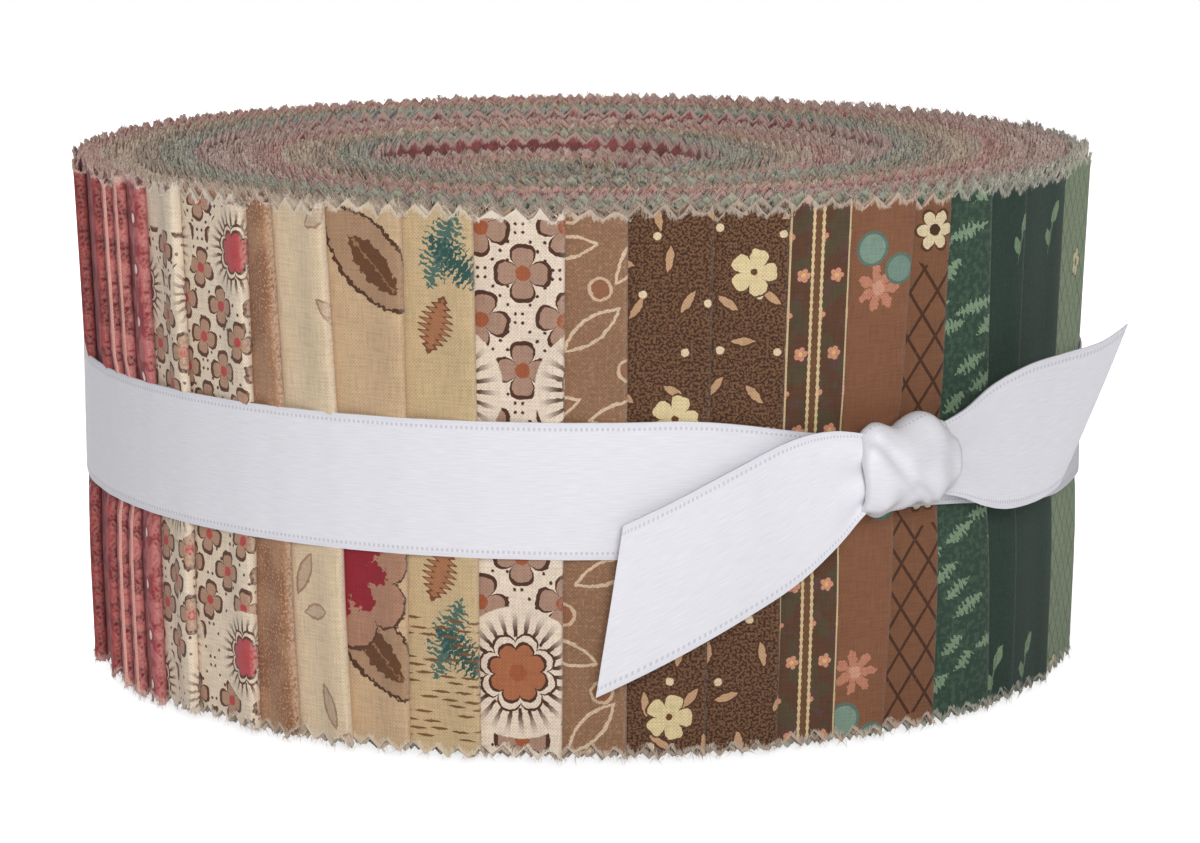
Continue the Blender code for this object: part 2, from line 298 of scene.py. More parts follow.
def wind_strip(number, name, cloth):
    """One strip as a folded sheet in its place in the roll, with its maps and its thickness."""
    order = winding_order.index(number)
    chance = random.Random(1000 + number)
    lengths, azimuths = winding_table(order)
    half_length = min(STRIP_LENGTH / 2.0, lengths[-1])
    arcs = [arc * MM for arc in FOLD_COLUMNS]
    while arcs[-1] + TOOTH / 2.0 < half_length:
        arcs.append(1.5 * TOOTH + (len(arcs) - len(FOLD_COLUMNS)) * TOOTH / 2.0)
    arcs = [-arc for arc in reversed(arcs[1:])] + arcs
    spans = len(arcs) - 1
    bpy.ops.mesh.primitive_grid_add(x_subdivisions=spans, y_subdivisions=ROWS_UP, size=1.0)
    strip = bpy.context.object
    strip.name = name
    mesh = strip.data
    mesh.name = name
    columns = [round((v.co.x + 0.5) * spans) for v in mesh.vertices]
    rows = [round((v.co.y + 0.5) * ROWS_UP) for v in mesh.vertices]
    bpy.ops.object.mode_set(mode="EDIT")
    bpy.ops.mesh.select_mode(type="EDGE")
    bpy.ops.mesh.select_all(action="DESELECT")
    bpy.ops.object.mode_set(mode="OBJECT")
    for edge in mesh.edges:
        first, second = edge.vertices
        arc = arcs[columns[first]]
        upright = columns[first] == columns[second] and rows[first] + rows[second] in (3, 5)
        edge.select = upright and -SHOWN_LENGTH <= arc <= 0.5 * MM
    bpy.ops.object.mode_set(mode="EDIT")
    bpy.ops.mesh.subdivide(number_cuts=SHOWN_CUTS)
    bpy.ops.object.mode_set(mode="OBJECT")
    phases = [number + chance.choice((0.0, 0.5)), number + chance.choice((100.0, 100.5))]
    top_shift, low_shift = (HEIGHT_SPREAD * chance.uniform(-1.0, 1.0) for _ in range(2))
    middle = fold_places[order] + 0.5 * fold_leans[order]
    places = print_places(number, arcs)
    known_folds, marks, cuts = {}, [], []
    for v in mesh.vertices:
        column = round((v.co.x + 0.5) * spans)
        arc = arcs[column]
        row = (v.co.y + 0.5) * ROWS_UP
        back = bisect.bisect_right(lengths, abs(arc))
        back = min(max(1, back), len(lengths) - 1)
        share = (abs(arc) - lengths[back - 1]) / (lengths[back] - lengths[back - 1])
        azimuth = azimuths[back - 1] + share * (azimuths[back] - azimuths[back - 1])
        turns = (STACK_START - azimuth) / 360.0
        depth = WALL_RADIUS - layer_radius(order, azimuth, top_folds)
        drift = HEIGHT_DRIFT * noise.noise(Vector((arc * 60.0, number * 3.7, 0.0)))
        top = STRIP_WIDTH - between_rows(TURN_FALLS, turns) + top_shift + drift
        low = OUTER_RISE * ease(1.0 - depth / OUTER_RISE_DEPTH) + abs(low_shift) + max(0.0, drift)
        if row < 0.5:
            height = low + tooth_fall(arc, phases[0])
        elif row > 3.5:
            height = top - tooth_fall(arc, phases[1])
        elif row < 2.0:
            height = low + TOOTH_ROW + (row - 1.0) * (WAIST - low - TOOTH_ROW)
        else:
            height = WAIST + (row - 2.0) * (top - TOOTH_ROW - WAIST)
        level = round(height / STRIP_WIDTH, 2)
        if level not in known_folds:
            known_folds[level] = folds_at(level)
        azimuth += (0.5 - level) * fold_leans[order]
        inward = fold_rise(number, arc, height) - STEP + LAYER / 4.0
        edge_row = row < 0.5 or row > 3.5
        if edge_row:
            inward += TOOTH_JITTER * chance.uniform(-0.6, 0.6)
            height = max(0.0, height + TOOTH_JITTER * chance.uniform(-1.0, 1.0))
        radius = layer_radius(order, azimuth, known_folds[level]) - LAYER / 8.0 + inward
        turned, opened = roll_place(azimuth, max(0.1 * MM, radius))
        opened *= between_rows(WALL_LEVELS, height) / WALL_RADIUS
        v.co = cylinder_point(turned, opened, height)
        if row > 3.5 or (row < 0.5 and -SHOWN_LENGTH <= arc <= 0.0):
            frayed_edge.append((v.co.copy(), number, math.copysign(1.0, row - 2.0)))
        marks.append((places[column], height))
        cuts.append(0.0 if edge_row else min(height - low, top - height, CUT_SHOWN) / MM)
    print_map = mesh.uv_layers[0]
    print_map.name = "print"
    for loop in mesh.loops:
        print_map.data[loop.index].uv = marks[loop.vertex_index]
    cut = mesh.attributes.new("cut", "FLOAT", "POINT")
    cut.data.foreach_set("value", cuts)
    for material in cloth:
        mesh.materials.append(material)
    outer_count = len(mesh.vertices)
    thickness = strip.modifiers.new("thickness", "SOLIDIFY")
    thickness.thickness = CLOTH
    thickness.offset = -1.0
    thickness.material_offset = 1
    thickness.material_offset_rim = 2
    bpy.ops.object.modifier_apply(modifier="thickness")
    lay_texture_map(mesh, outer_count)
    bpy.ops.object.shade_smooth_by_angle(angle=SMOOTH_UNDER)
    strip.select_set(False)
    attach(strip, "root")
    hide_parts("strip_roll")


# The cotton is woven plain and printed on one side. The print lies on the strip's own map, in
# millimetres back from its fold and up its width. The pinked edge frays pale.
THREAD = 0.42
FRAY_COLOUR = (230, 219, 204)
DULL_COTTON = (112, 97, 88)
DULLNESS = 0.5
lint_tones = {}


def tone(colour):
    """A colour as a paint shop gives it, 0 to 255, as the shader takes it."""
    return (*(((c / 255.0 + 0.055) / 1.055) ** 2.4 for c in colour), 1.0)


def blend_of(colour, other, share):
    return tuple(a + share * (b - a) for a, b in zip(colour, other))


def put(tree, socket, value):
    """Links an output to a socket, or sets the socket's own value."""
    if isinstance(value, bpy.types.NodeSocket):
        tree.links.new(value, socket)
    else:
        socket.default_value = value


def node(tree, kind, values=(), **settings):
    made = tree.nodes.new("ShaderNode" + kind)
    for name, value in settings.items():
        setattr(made, name, value)
    for socket, value in dict(values).items():
        put(tree, made.inputs[socket], value)
    return made


def maths(tree, operation, *values):
    made = node(tree, "Math", enumerate(values), operation=operation)
    return made.outputs[0]


def times(tree, *values):
    return maths(tree, "MULTIPLY", *values)


def plus(tree, *values):
    return maths(tree, "ADD", *values)


def less(tree, *values):
    return maths(tree, "SUBTRACT", *values)


def fade(tree, value, start, end):
    """0 at the start and 1 at the end, smooth and clamped."""
    values = {"Value": value, "From Min": start, "From Max": end}
    made = node(tree, "MapRange", values, interpolation_type="SMOOTHSTEP")
    return made.outputs["Result"]


def paint(tree, mask, under, over):
    made = node(tree, "Mix", {0: mask, 6: under, 7: over}, data_type="RGBA")
    return made.outputs[2]


def new_group(name, inputs, outputs):
    """An empty node group with named sockets: inputs with their values, and outputs."""
    tree = bpy.data.node_groups.new(name, "ShaderNodeTree")
    for label, value in inputs.items():
        kinds = {tuple: "NodeSocketColor", float: "NodeSocketFloat", type(None): "NodeSocketVector"}
        socket = tree.interface.new_socket(label, in_out="INPUT", socket_type=kinds[type(value)])
        if value is not None:
            socket.default_value = value
    for label, kind in outputs.items():
        tree.interface.new_socket(label, in_out="OUTPUT", socket_type="NodeSocket" + kind)
    return tree, tree.nodes.new("NodeGroupInput").outputs, tree.nodes.new("NodeGroupOutput").inputs


REPEAT = {
    "Vector": None, "Across": 12.0, "Up": 12.0, "Stagger": 0.5, "Shift": 0.0, "Lift": 0.0,
    "Jitter": 0.0, "Share": 1.0, "Ragged": 0.0, "Lowest": 0.0, "Highest": 64.0,
}


def repeated(tree, given):
    """Repeats the cloth's map in cells: place in the cell, a chance number, and if it is filled."""
    rough = node(tree, "TexNoise", {"Vector": given["Vector"], "Scale": 1.6, "Detail": 3.0})
    shaken = node(tree, "SeparateXYZ", {0: rough.outputs["Color"]}).outputs
    place = node(tree, "SeparateXYZ", {0: given["Vector"]}).outputs
    moved = []
    for axis, shift in ((0, "Shift"), (1, "Lift")):
        shake = times(tree, less(tree, shaken[axis], 0.5), given["Ragged"])
        moved.append(plus(tree, plus(tree, place[axis], given[shift]), shake))
    row_place = maths(tree, "DIVIDE", moved[1], given["Up"])
    row = maths(tree, "FLOOR", row_place)
    column_place = plus(tree, maths(tree, "DIVIDE", moved[0], given["Across"]),
                         times(tree, row, given["Stagger"]))
    column = maths(tree, "FLOOR", column_place)
    cell = node(tree, "CombineXYZ", {0: column, 1: row, 2: 3.7}).outputs[0]
    chance = node(tree, "TexWhiteNoise", {"Vector": cell}, noise_dimensions="3D")
    chances = node(tree, "SeparateXYZ", {0: chance.outputs["Color"]}).outputs
    local = []
    for axis, (spot, start, size) in enumerate(
        ((column_place, column, "Across"), (row_place, row, "Up"))
    ):
        inside = less(tree, less(tree, spot, start), 0.5)
        inside = times(tree, inside, given[size])
        shake = times(tree, less(tree, chances[axis], 0.5), given["Jitter"])
        local.append(plus(tree, inside, shake))
    filled = maths(tree, "LESS_THAN", chances[2], given["Share"])
    above = maths(tree, "GREATER_THAN", place[1], given["Lowest"])
    below = maths(tree, "LESS_THAN", place[1], given["Highest"])
    filled = times(tree, filled, times(tree, above, below))
    return local[0], local[1], chance.outputs["Value"], filled


def radius_of(tree, x, y):
    squares = plus(tree, times(tree, x, x), times(tree, y, y))
    return maths(tree, "SQRT", squares)


def line_at(tree, distance, width):
    """A line where the distance is near nought."""
    half = times(tree, width, 0.5)
    outer = plus(tree, half, 0.05)
    return less(tree, 1.0, fade(tree, maths(tree, "ABSOLUTE", distance), half, outer))


dots, given, out = new_group(
    "dots", REPEAT | {"Size": 0.8, "Line": 0.3}, {"Dots": "Float", "Ring": "Float"}
)
x, y, chance, filled = repeated(dots, given)
within = less(dots, given["Size"], radius_of(dots, x, y))
put(dots, out["Dots"], times(dots, fade(dots, within, 0.0, 0.1), filled))
around = line_at(dots, plus(dots, within, times(dots, given["Line"], 0.5)), given["Line"])
put(dots, out["Ring"], times(dots, around, filled))

stripe, given, out = new_group(
    "upright_line",
    {"Vector": None, "Place": -3.0, "Width": 0.4, "Bead": 1.0, "Beading": 0.0, "Repeat": 100.0},
    {"Line": "Float"},
)
place = node(stripe, "SeparateXYZ", {0: given["Vector"]}).outputs
beat = maths(stripe, "DIVIDE", times(stripe, place[1], math.pi), given["Bead"])
bead = maths(stripe, "ABSOLUTE", maths(stripe, "SINE", beat))
narrow = less(stripe, 1.0, times(stripe, bead, given["Beading"]))
across = less(stripe, place[0], given["Place"])
away = maths(stripe, "PINGPONG", across, times(stripe, given["Repeat"], 0.5))
put(stripe, out["Line"], line_at(stripe, away, times(stripe, given["Width"], narrow)))

speckle, given, out = new_group(
    "speckle", {"Vector": None, "Scale": 2.0, "Detail": 2.0, "Amount": 0.5, "Softness": 0.08},
    {"Speckle": "Float"},
)
grain = node(speckle, "TexNoise", {label: given[label] for label in ("Vector", "Scale", "Detail")})
limit = less(speckle, 1.0, given["Amount"])
low = less(speckle, limit, given["Softness"])
high = plus(speckle, limit, given["Softness"])
put(speckle, out["Speckle"], fade(speckle, grain.outputs["Fac"], low, high))

cotton, given, out = new_group(
    "cotton_finish",
    {"Colour": (0.5, 0.5, 0.5, 1.0), "Fray And Highlight Colour": (0.8, 0.8, 0.8, 1.0), "Vector": None,
     "Cut Distance": 4.0, "Weave": 0.2, "Fold Wear And Highlight": 0.3, "Fray": 1.0},
    {"Colour": "Color", "Height": "Float", "Roughness": "Float"},
)
place = node(cotton, "SeparateXYZ", {0: given["Vector"]}).outputs
threads = [
    maths(cotton, "SINE", times(cotton, place[axis], math.tau / THREAD)) for axis in (0, 1)
]
woven = times(cotton, *threads)
slubs = []
for scale in ((9.0, 0.7, 1.0), (0.7, 9.0, 1.0)):
    stretched = node(cotton, "VectorMath", {0: given["Vector"], 1: scale}, operation="MULTIPLY")
    grain = node(cotton, "TexNoise", {"Vector": stretched.outputs[0], "Scale": 0.55, "Detail": 1.0})
    slubs.append(less(cotton, grain.outputs["Fac"], 0.5))
slub = plus(cotton, *slubs)
texture = plus(cotton, times(cotton, woven, 0.5), times(cotton, slub, 1.3))
shade = plus(cotton, 1.0, times(cotton, texture, given["Weave"]))
broad = node(cotton, "TexNoise", {"Vector": given["Vector"], "Scale": 0.12, "Detail": 2.0})
shade = times(cotton, shade, fade(cotton, broad.outputs["Fac"], -2.6, 0.9))
shaded = node(cotton, "VectorMath", {0: given["Colour"], "Scale": shade}, operation="SCALE")
# Along the fold the print is paled towards the fray colour, broken up by noise: a painted highlight
# on the fold's ridge, and partly wear.
away = maths(cotton, "ABSOLUTE", place[0])
worn = times(cotton, fade(cotton, away, 1.0, 0.0), given["Fold Wear And Highlight"])
wear_and_highlight_noise = node(cotton, "TexNoise", {"Vector": given["Vector"], "Scale": 2.4, "Detail": 3.0})
worn = times(cotton, worn, fade(cotton, wear_and_highlight_noise.outputs["Fac"], 0.34, 0.6))
coloured = paint(cotton, worn, shaded.outputs[0], given["Fray And Highlight Colour"])
wisps = node(cotton, "VectorMath", {0: given["Vector"], 1: (3.2, 1.1, 1.0)}, operation="MULTIPLY")
values = {"Vector": wisps.outputs[0], "Scale": 1.0, "Detail": 4.0, "Roughness": 0.7}
fray = node(cotton, "TexNoise", values)
limit = times(cotton, less(cotton, fray.outputs["Fac"], 0.24), 3.4)
limit = times(cotton, limit, given["Fray"])
frayed = fade(cotton, less(cotton, limit, given["Cut Distance"]), -0.25, 0.55)
pale = times(cotton, frayed, 0.85)
put(cotton, out["Colour"], paint(cotton, pale, coloured, given["Fray And Highlight Colour"]))
lint = times(cotton, frayed, fray.outputs["Fac"])
put(cotton, out["Height"], plus(cotton, times(cotton, texture, 0.35), lint))
put(cotton, out["Roughness"], plus(cotton, 0.86, times(cotton, frayed, 0.1)))

print_groups = {"dots": dots, "line": stripe, "speckle": speckle}


def map_in_mm(tree, shift=(0.0, 0.0)):
    """The piece's own map in millimetres, shifted along and up."""
    own_map = node(tree, "UVMap", uv_map="print").outputs["UV"]
    values = {"Vector": own_map, "Location": (*shift, 0.0), "Scale": (1.0 / MM, 1.0 / MM, 1.0)}
    return node(tree, "Mapping", values).outputs["Vector"]


def make_cloth_material(name, base, layers, shift, weave, fold_wear_and_highlight, fray):
    """One face of the cloth: its base colour, its printed layers, and the cotton over them."""
    material = bpy.data.materials.new(name)
    material.use_nodes = True
    tree = material.node_tree
    shader = tree.nodes["Principled BSDF"]
    mapped = map_in_mm(tree, shift)
    colour = tone(base)
    for kind, settings, colours in layers:
        motif = node(tree, "Group", node_tree=print_groups[kind])
        put(tree, motif.inputs["Vector"], mapped)
        for socket, value in settings.items():
            motif.inputs[socket].default_value = float(value)
        for socket, over in colours.items():
            colour = paint(tree, motif.outputs[socket], colour, tone(over))
    finish = node(tree, "Group", node_tree=cotton)
    cut = node(tree, "Attribute", attribute_name="cut", attribute_type="GEOMETRY")
    for socket, value in {
        "Colour": colour, "Fray And Highlight Colour": tone(blend_of(base, FRAY_COLOUR, 0.72)),
        "Vector": map_in_mm(tree), "Cut Distance": cut.outputs["Fac"],
        "Weave": weave, "Fold Wear And Highlight": fold_wear_and_highlight, "Fray": fray,
    }.items():
        put(tree, finish.inputs[socket], value)
    put(tree, shader.inputs["Base Color"], finish.outputs["Colour"])
    put(tree, shader.inputs["Roughness"], finish.outputs["Roughness"])
    values = {"Height": finish.outputs["Height"], "Strength": 0.35, "Distance": 0.12 * MM}
    bump = node(tree, "Bump", values)
    put(tree, shader.inputs["Normal"], bump.outputs["Normal"])
    shader.inputs["Sheen Weight"].default_value = 0.12
    shader.inputs["Sheen Roughness"].default_value = 0.6
    shader.inputs["Specular IOR Level"].default_value = 0.25
    return material


def make_cotton(name, base, layers, shift=(0.0, 0.0), average=None, fold_wear_and_highlight=0.3, weave=0.32):
    """Print, reverse and cut edge of one cloth. The average is what the whole print comes to."""
    average = average or base
    reverse_base = blend_of(average, DULL_COTTON, 0.22)
    cut_base = blend_of(average, DULL_COTTON, DULLNESS)
    blotch = {"Speckle": blend_of(reverse_base, FRAY_COLOUR, 0.14)}
    blotches = [("speckle", {"Scale": 0.7, "Amount": 0.5, "Softness": 0.2}, blotch)]
    fleck = {"Speckle": blend_of(cut_base, FRAY_COLOUR, 0.4)}
    flecks = [("speckle", {"Scale": 3.0, "Amount": 0.47, "Softness": 0.05}, fleck)]
    return (
        make_cloth_material(name, base, layers, shift, weave, fold_wear_and_highlight, 1.0),
        make_cloth_material(name + "_reverse", reverse_base, blotches, shift, 0.2, 0.0, 0.35),
        make_cloth_material(name + "_cut_edge", cut_base, flecks, shift, 0.5, 0.0, 0.15),
    )


# The last share sets how much the print is paled along its fold: partly wear, partly a painted
# highlight on the fold's ridge.
def wind_cotton(number, name, base, layers=(), average=None, shift=(0.0, 0.0), fold_wear_and_highlight=0.3):
    cloth = make_cotton(f"{name}_{number:02d}", base, list(layers), shift, average, fold_wear_and_highlight)
    lint_tones[number] = blend_of(average or base, DULL_COTTON, DULLNESS)
    wind_strip(number, f"strip_{number:02d}", cloth)


# Brick red and rose: mottled grounds, some with narrow pale stripes along the fold, and one with
# white dots
BLOTCHES = {"Scale": 0.45, "Amount": 0.5, "Softness": 0.06}
DEEP_RED, PALE_PINK = (128, 34, 40), (222, 164, 150)
for number, base, places in (
    (0, (158, 56, 56), ()), (1, (166, 66, 66), ()),
    (2, (188, 92, 92), ((-0.7, 0.5), (-2.5, 0.35))),
    (3, (192, 104, 100), ((-0.9, 0.6), (-2.9, 0.3))),
):
    layers = [("speckle", BLOTCHES, {"Speckle": DEEP_RED})]
    for place, width in places:
        layers.append(("line", {"Place": place, "Width": width}, {"Line": PALE_PINK}))
    wind_cotton(number, "red_cotton", base, layers, fold_wear_and_highlight=0.35)
wind_cotton(4, "dotted_rose_cotton", (186, 100, 100), [
    ("speckle", BLOTCHES, {"Speckle": (150, 48, 54)}),
    ("dots", {"Across": 7.0, "Up": 6.2, "Shift": 5.6, "Stagger": 0.0, "Jitter": 0.5, "Size": 0.62,
              "Line": 0.35}, {"Ring": (146, 44, 50), "Dots": (240, 226, 214)}),
], fold_wear_and_highlight=0.35)


# The cream strips with flowers
# Cream cotton with four-petalled flowers outlined in brown, rows of dots between them, and
# rosettes in a ring of short strokes.
flower, given, out = new_group(
    "petal_flower",
    REPEAT | {"Size": 3.0, "Petals": 4.0, "Waist": 0.3, "Notch": 0.0, "Turn": 0.0, "Line": 0.25,
              "Heart": 0.25, "Ray Count": 24.0, "Ray Reach": 1.6},
    {"Ground": "Float", "Petals": "Float", "Outline": "Float", "Heart": "Float", "Rays": "Float"},
)
x, y, chance, filled = repeated(flower, given)
reach = radius_of(flower, x, y)
angle = plus(flower, maths(flower, "ARCTAN2", y, x), given["Turn"])
lobe = times(flower, angle, times(flower, given["Petals"], 0.5))
wave = maths(flower, "POWER", maths(flower, "ABSOLUTE", maths(flower, "COSINE", lobe)), 0.55)
tip = maths(flower, "POWER", wave, 8.0)
edge = plus(flower, given["Waist"], times(flower, wave, less(flower, 1.0, given["Waist"])))
edge = less(flower, edge, times(flower, tip, given["Notch"]))
within = less(flower, times(flower, edge, given["Size"]), reach)
put(flower, out["Petals"], times(flower, fade(flower, within, 0.0, 0.08), filled))
put(flower, out["Outline"], times(flower, line_at(flower, within, given["Line"]), filled))
heart = less(flower, times(flower, given["Size"], given["Heart"]), reach)
put(flower, out["Heart"], times(flower, fade(flower, heart, 0.0, 0.1), filled))
spoke = maths(flower, "COSINE", times(flower, angle, given["Ray Count"]))
far = maths(flower, "DIVIDE", reach, given["Size"])
limit = plus(flower, given["Ray Reach"], 0.05)
ground = less(flower, 1.0, fade(flower, far, given["Ray Reach"], limit))
put(flower, out["Ground"], times(flower, ground, filled))
ring = times(flower, fade(flower, far, 1.14, 1.2), fade(flower, far, given["Ray Reach"], 1.3))
spokes = times(flower, fade(flower, spoke, 0.15, 0.55), ring)
put(flower, out["Rays"], times(flower, spokes, filled))

print_groups["flower"] = flower


def flowered(ground, petals, line, heart, rosette, size, spacing, rosette_shift):
    fine = {"Across": 4.2, "Up": 1.0, "Size": 0.24, "Ragged": 0.3}
    blossom = {"Across": spacing, "Up": 1.12 * spacing, "Stagger": 0.0, "Size": size, "Waist": 0.24,
               "Petals": 4.0, "Line": 0.42, "Jitter": 0.4, "Ragged": 0.4, "Share": 0.95,
               "Notch": 0.13, "Heart": 0.26}
    wheel = {"Across": 2.0 * spacing, "Up": 3.4 * spacing, "Stagger": 0.5, "Size": size,
             "Petals": 8.0, "Waist": 0.74, "Line": 0.3, "Ragged": 0.4, "Heart": 0.3, "Turn": 0.3,
             "Ray Count": 26.0, "Ray Reach": 2.15, "Shift": rosette_shift[0],
             "Lift": rosette_shift[1]}
    halo = wheel | {"Size": 1.3 * size, "Line": 0.24, "Ray Count": 0.0}
    return [
        ("dots", fine | {"Stagger": 0.2}, {"Dots": line}),
        ("dots", fine | {"Stagger": -0.2}, {"Dots": line}),
        ("flower", blossom, {"Petals": petals, "Outline": line, "Heart": heart}),
        ("flower", blossom | {"Shift": 0.5 * spacing, "Lift": 0.56 * spacing, "Turn": 0.2},
         {"Petals": petals, "Outline": line, "Heart": heart}),
        ("flower", wheel, {"Ground": ground, "Rays": line}),
        ("flower", halo, {"Petals": ground, "Outline": line}),
        ("flower", wheel, {"Petals": rosette, "Outline": line, "Heart": heart}),
    ]


CREAM, TAUPE, BARK = (230, 212, 188), (182, 144, 118), (96, 58, 42)
for number, shift in ((5, (3.4, 6.0)), (6, (8.6, 0.0))):
    wind_cotton(number, "flowered_cream_cotton", CREAM, flowered(
        CREAM, TAUPE, BARK, (190, 72, 72), (188, 78, 82), 2.5, 6.9, (0.0, 2.0),
    ), average=(186, 164, 142), shift=shift, fold_wear_and_highlight=0.45)


# The tan and pale cream strips
# A mottled tan, a pale cream with faint leaves, a tan with large leaves and a deep red bloom, and
# a beige with green sprigs, brown leaves and short dashes.
leaf, given, out = new_group(
    "leaf",
    REPEAT | {"Length": 5.0, "Width": 1.8, "Turn": 0.0, "Spread": 0.0, "Line": 0.22,
              "Serration": 0.0},
    {"Leaf": "Float", "Outline": "Float", "Vein": "Float"},
)
x, y, chance, filled = repeated(leaf, given)
spin = times(leaf, less(leaf, chance, 0.5), given["Spread"])
spin = plus(leaf, spin, given["Turn"])
cosine, sine = maths(leaf, "COSINE", spin), maths(leaf, "SINE", spin)
down = plus(leaf, times(leaf, x, cosine), times(leaf, y, sine))
side = less(leaf, times(leaf, y, cosine), times(leaf, x, sine))
share = maths(leaf, "DIVIDE", times(leaf, down, 2.0), given["Length"])
taper = less(leaf, 1.0, times(leaf, share, share))
teeth = times(leaf, maths(leaf, "SINE", times(leaf, down, 9.0)), given["Serration"])
edge = times(leaf, times(leaf, taper, given["Width"]), plus(leaf, teeth, 0.5))
within = less(leaf, edge, maths(leaf, "ABSOLUTE", side))
put(leaf, out["Leaf"], times(leaf, fade(leaf, within, 0.0, 0.08), filled))
inside = fade(leaf, taper, -0.25, 0.0)
line = times(leaf, line_at(leaf, within, given["Line"]), inside)
put(leaf, out["Outline"], times(leaf, line, filled))
vein = line_at(leaf, side, times(leaf, given["Line"], 0.6))
vein = times(leaf, vein, fade(leaf, within, 0.0, 0.1))
put(leaf, out["Vein"], times(leaf, vein, filled))

print_groups["leaf"] = leaf

wind_cotton(7, "mottled_tan_cotton", (148, 102, 72), [
    ("speckle", {"Scale": 0.16, "Amount": 0.5, "Softness": 0.12}, {"Speckle": (172, 130, 98)}),
    ("speckle", {"Scale": 3.2, "Amount": 0.42, "Softness": 0.06}, {"Speckle": (194, 150, 116)}),
], fold_wear_and_highlight=0.7)
FAINT_LEAF = {"Across": 13.0, "Up": 15.0, "Shift": 9.5, "Lift": 2.0, "Length": 5.2, "Width": 1.7,
              "Stagger": 0.25, "Turn": 1.9, "Spread": 1.6, "Ragged": 0.5, "Line": 0.25}
wind_cotton(8, "pale_leaf_cotton", (220, 198, 166), [
    ("leaf", FAINT_LEAF, {"Leaf": (196, 170, 144), "Outline": (164, 130, 108)}),
    ("leaf", FAINT_LEAF | {"Lift": 6.2, "Shift": 7.8, "Turn": 0.9, "Length": 3.6},
     {"Leaf": (200, 176, 150), "Outline": (170, 136, 112)}),
], fold_wear_and_highlight=0.8)
wind_cotton(9, "large_leaf_cotton", (202, 172, 136), [
    ("leaf", {"Across": 60.0, "Up": 44.0, "Shift": 34.5, "Lift": 9.0, "Length": 17.0, "Width": 7.6,
              "Turn": -0.75, "Ragged": 1.2, "Line": 0.4, "Stagger": 0.0},
     {"Leaf": (170, 136, 106), "Outline": (84, 52, 34)}),
    ("leaf", {"Across": 60.0, "Up": 44.0, "Shift": 34.0, "Lift": 9.6, "Length": 8.5, "Width": 3.4,
              "Turn": -0.75, "Ragged": 1.6, "Line": 0.3, "Stagger": 0.0},
     {"Leaf": (104, 66, 38), "Outline": (104, 66, 38), "Vein": (150, 112, 80)}),
    ("flower", {"Across": 60.0, "Up": 60.0, "Shift": 38.4, "Lift": 9.0, "Size": 8.6, "Petals": 7.0,
                "Waist": 0.74, "Line": 0.35, "Ragged": 1.0, "Turn": 0.5, "Stagger": 0.0},
     {"Petals": (172, 128, 104), "Outline": (90, 60, 44)}),
    ("flower", {"Across": 60.0, "Up": 60.0, "Shift": 39.2, "Lift": 7.8, "Size": 6.4, "Petals": 9.0,
                "Waist": 0.55, "Ragged": 2.6, "Turn": 0.2, "Stagger": 0.0},
     {"Petals": (146, 34, 48)}),
], average=(196, 164, 130), fold_wear_and_highlight=0.25)
SPRIG = {"Across": 30.0, "Up": 44.0, "Stagger": 0.0, "Ragged": 1.5, "Serration": 0.4}
wind_cotton(10, "green_sprig_cotton", (200, 174, 134), [
    ("leaf", SPRIG | {"Shift": 19.0, "Lift": 7.4, "Length": 10.5, "Width": 3.1, "Turn": 1.2},
     {"Leaf": (76, 108, 98)}),
    ("leaf", SPRIG | {"Shift": 17.2, "Lift": 9.0, "Length": 9.0, "Width": 2.6, "Turn": -0.7},
     {"Leaf": (48, 84, 78)}),
    ("leaf", {"Across": 30.0, "Up": 28.0, "Shift": 20.0, "Lift": 20.0, "Stagger": 0.0,
              "Length": 6.6, "Width": 2.8, "Turn": 1.25, "Serration": 0.22, "Line": 0.4},
     {"Leaf": (166, 112, 78), "Outline": (120, 74, 46)}),
    ("leaf", {"Across": 2.7, "Up": 0.9, "Length": 2.7, "Width": 0.4, "Jitter": 0.3, "Share": 0.74,
              "Stagger": 0.37, "Ragged": 0.3, "Lowest": 3.0, "Highest": 17.0},
     {"Leaf": (122, 84, 50)}),
], average=(190, 164, 130), fold_wear_and_highlight=0.3)


# The white flowered strip and the curled-leaf strip
# The broad white strip repeats the flowers and rosettes of the cream ones at a larger scale. The
# tan one beside it has long leaves and curls drawn in cream.
WHITE, RUST = (228, 210, 190), (158, 88, 56)
wind_cotton(11, "flowered_white_cotton", WHITE, flowered(
    WHITE, (168, 134, 114), (80, 48, 36), RUST, (168, 104, 70), 3.5, 9.4, (5.2, 3.0),
), average=(190, 158, 138), shift=(9.6, 2.0), fold_wear_and_highlight=0.3)
CURLED_LEAF = {"Across": 8.6, "Up": 9.0, "Shift": 8.6, "Length": 7.8, "Width": 2.5,
               "Spread": 2.4, "Turn": 0.8, "Stagger": 0.4, "Jitter": 1.0, "Line": 0.32,
               "Ragged": 0.5}
wind_cotton(12, "curled_leaf_cotton", (142, 106, 80), [
    ("speckle", {"Scale": 2.6, "Amount": 0.42, "Softness": 0.08}, {"Speckle": (160, 122, 94)}),
    ("leaf", CURLED_LEAF, {"Outline": (212, 186, 156)}),
    ("dots", {"Across": 8.6, "Up": 9.0, "Shift": 4.4, "Lift": 4.5, "Stagger": 0.4, "Jitter": 1.0,
              "Size": 1.05, "Line": 0.3, "Ragged": 0.5},
     {"Ring": (206, 178, 148), "Dots": (146, 98, 70)}),
], fold_wear_and_highlight=0.2)


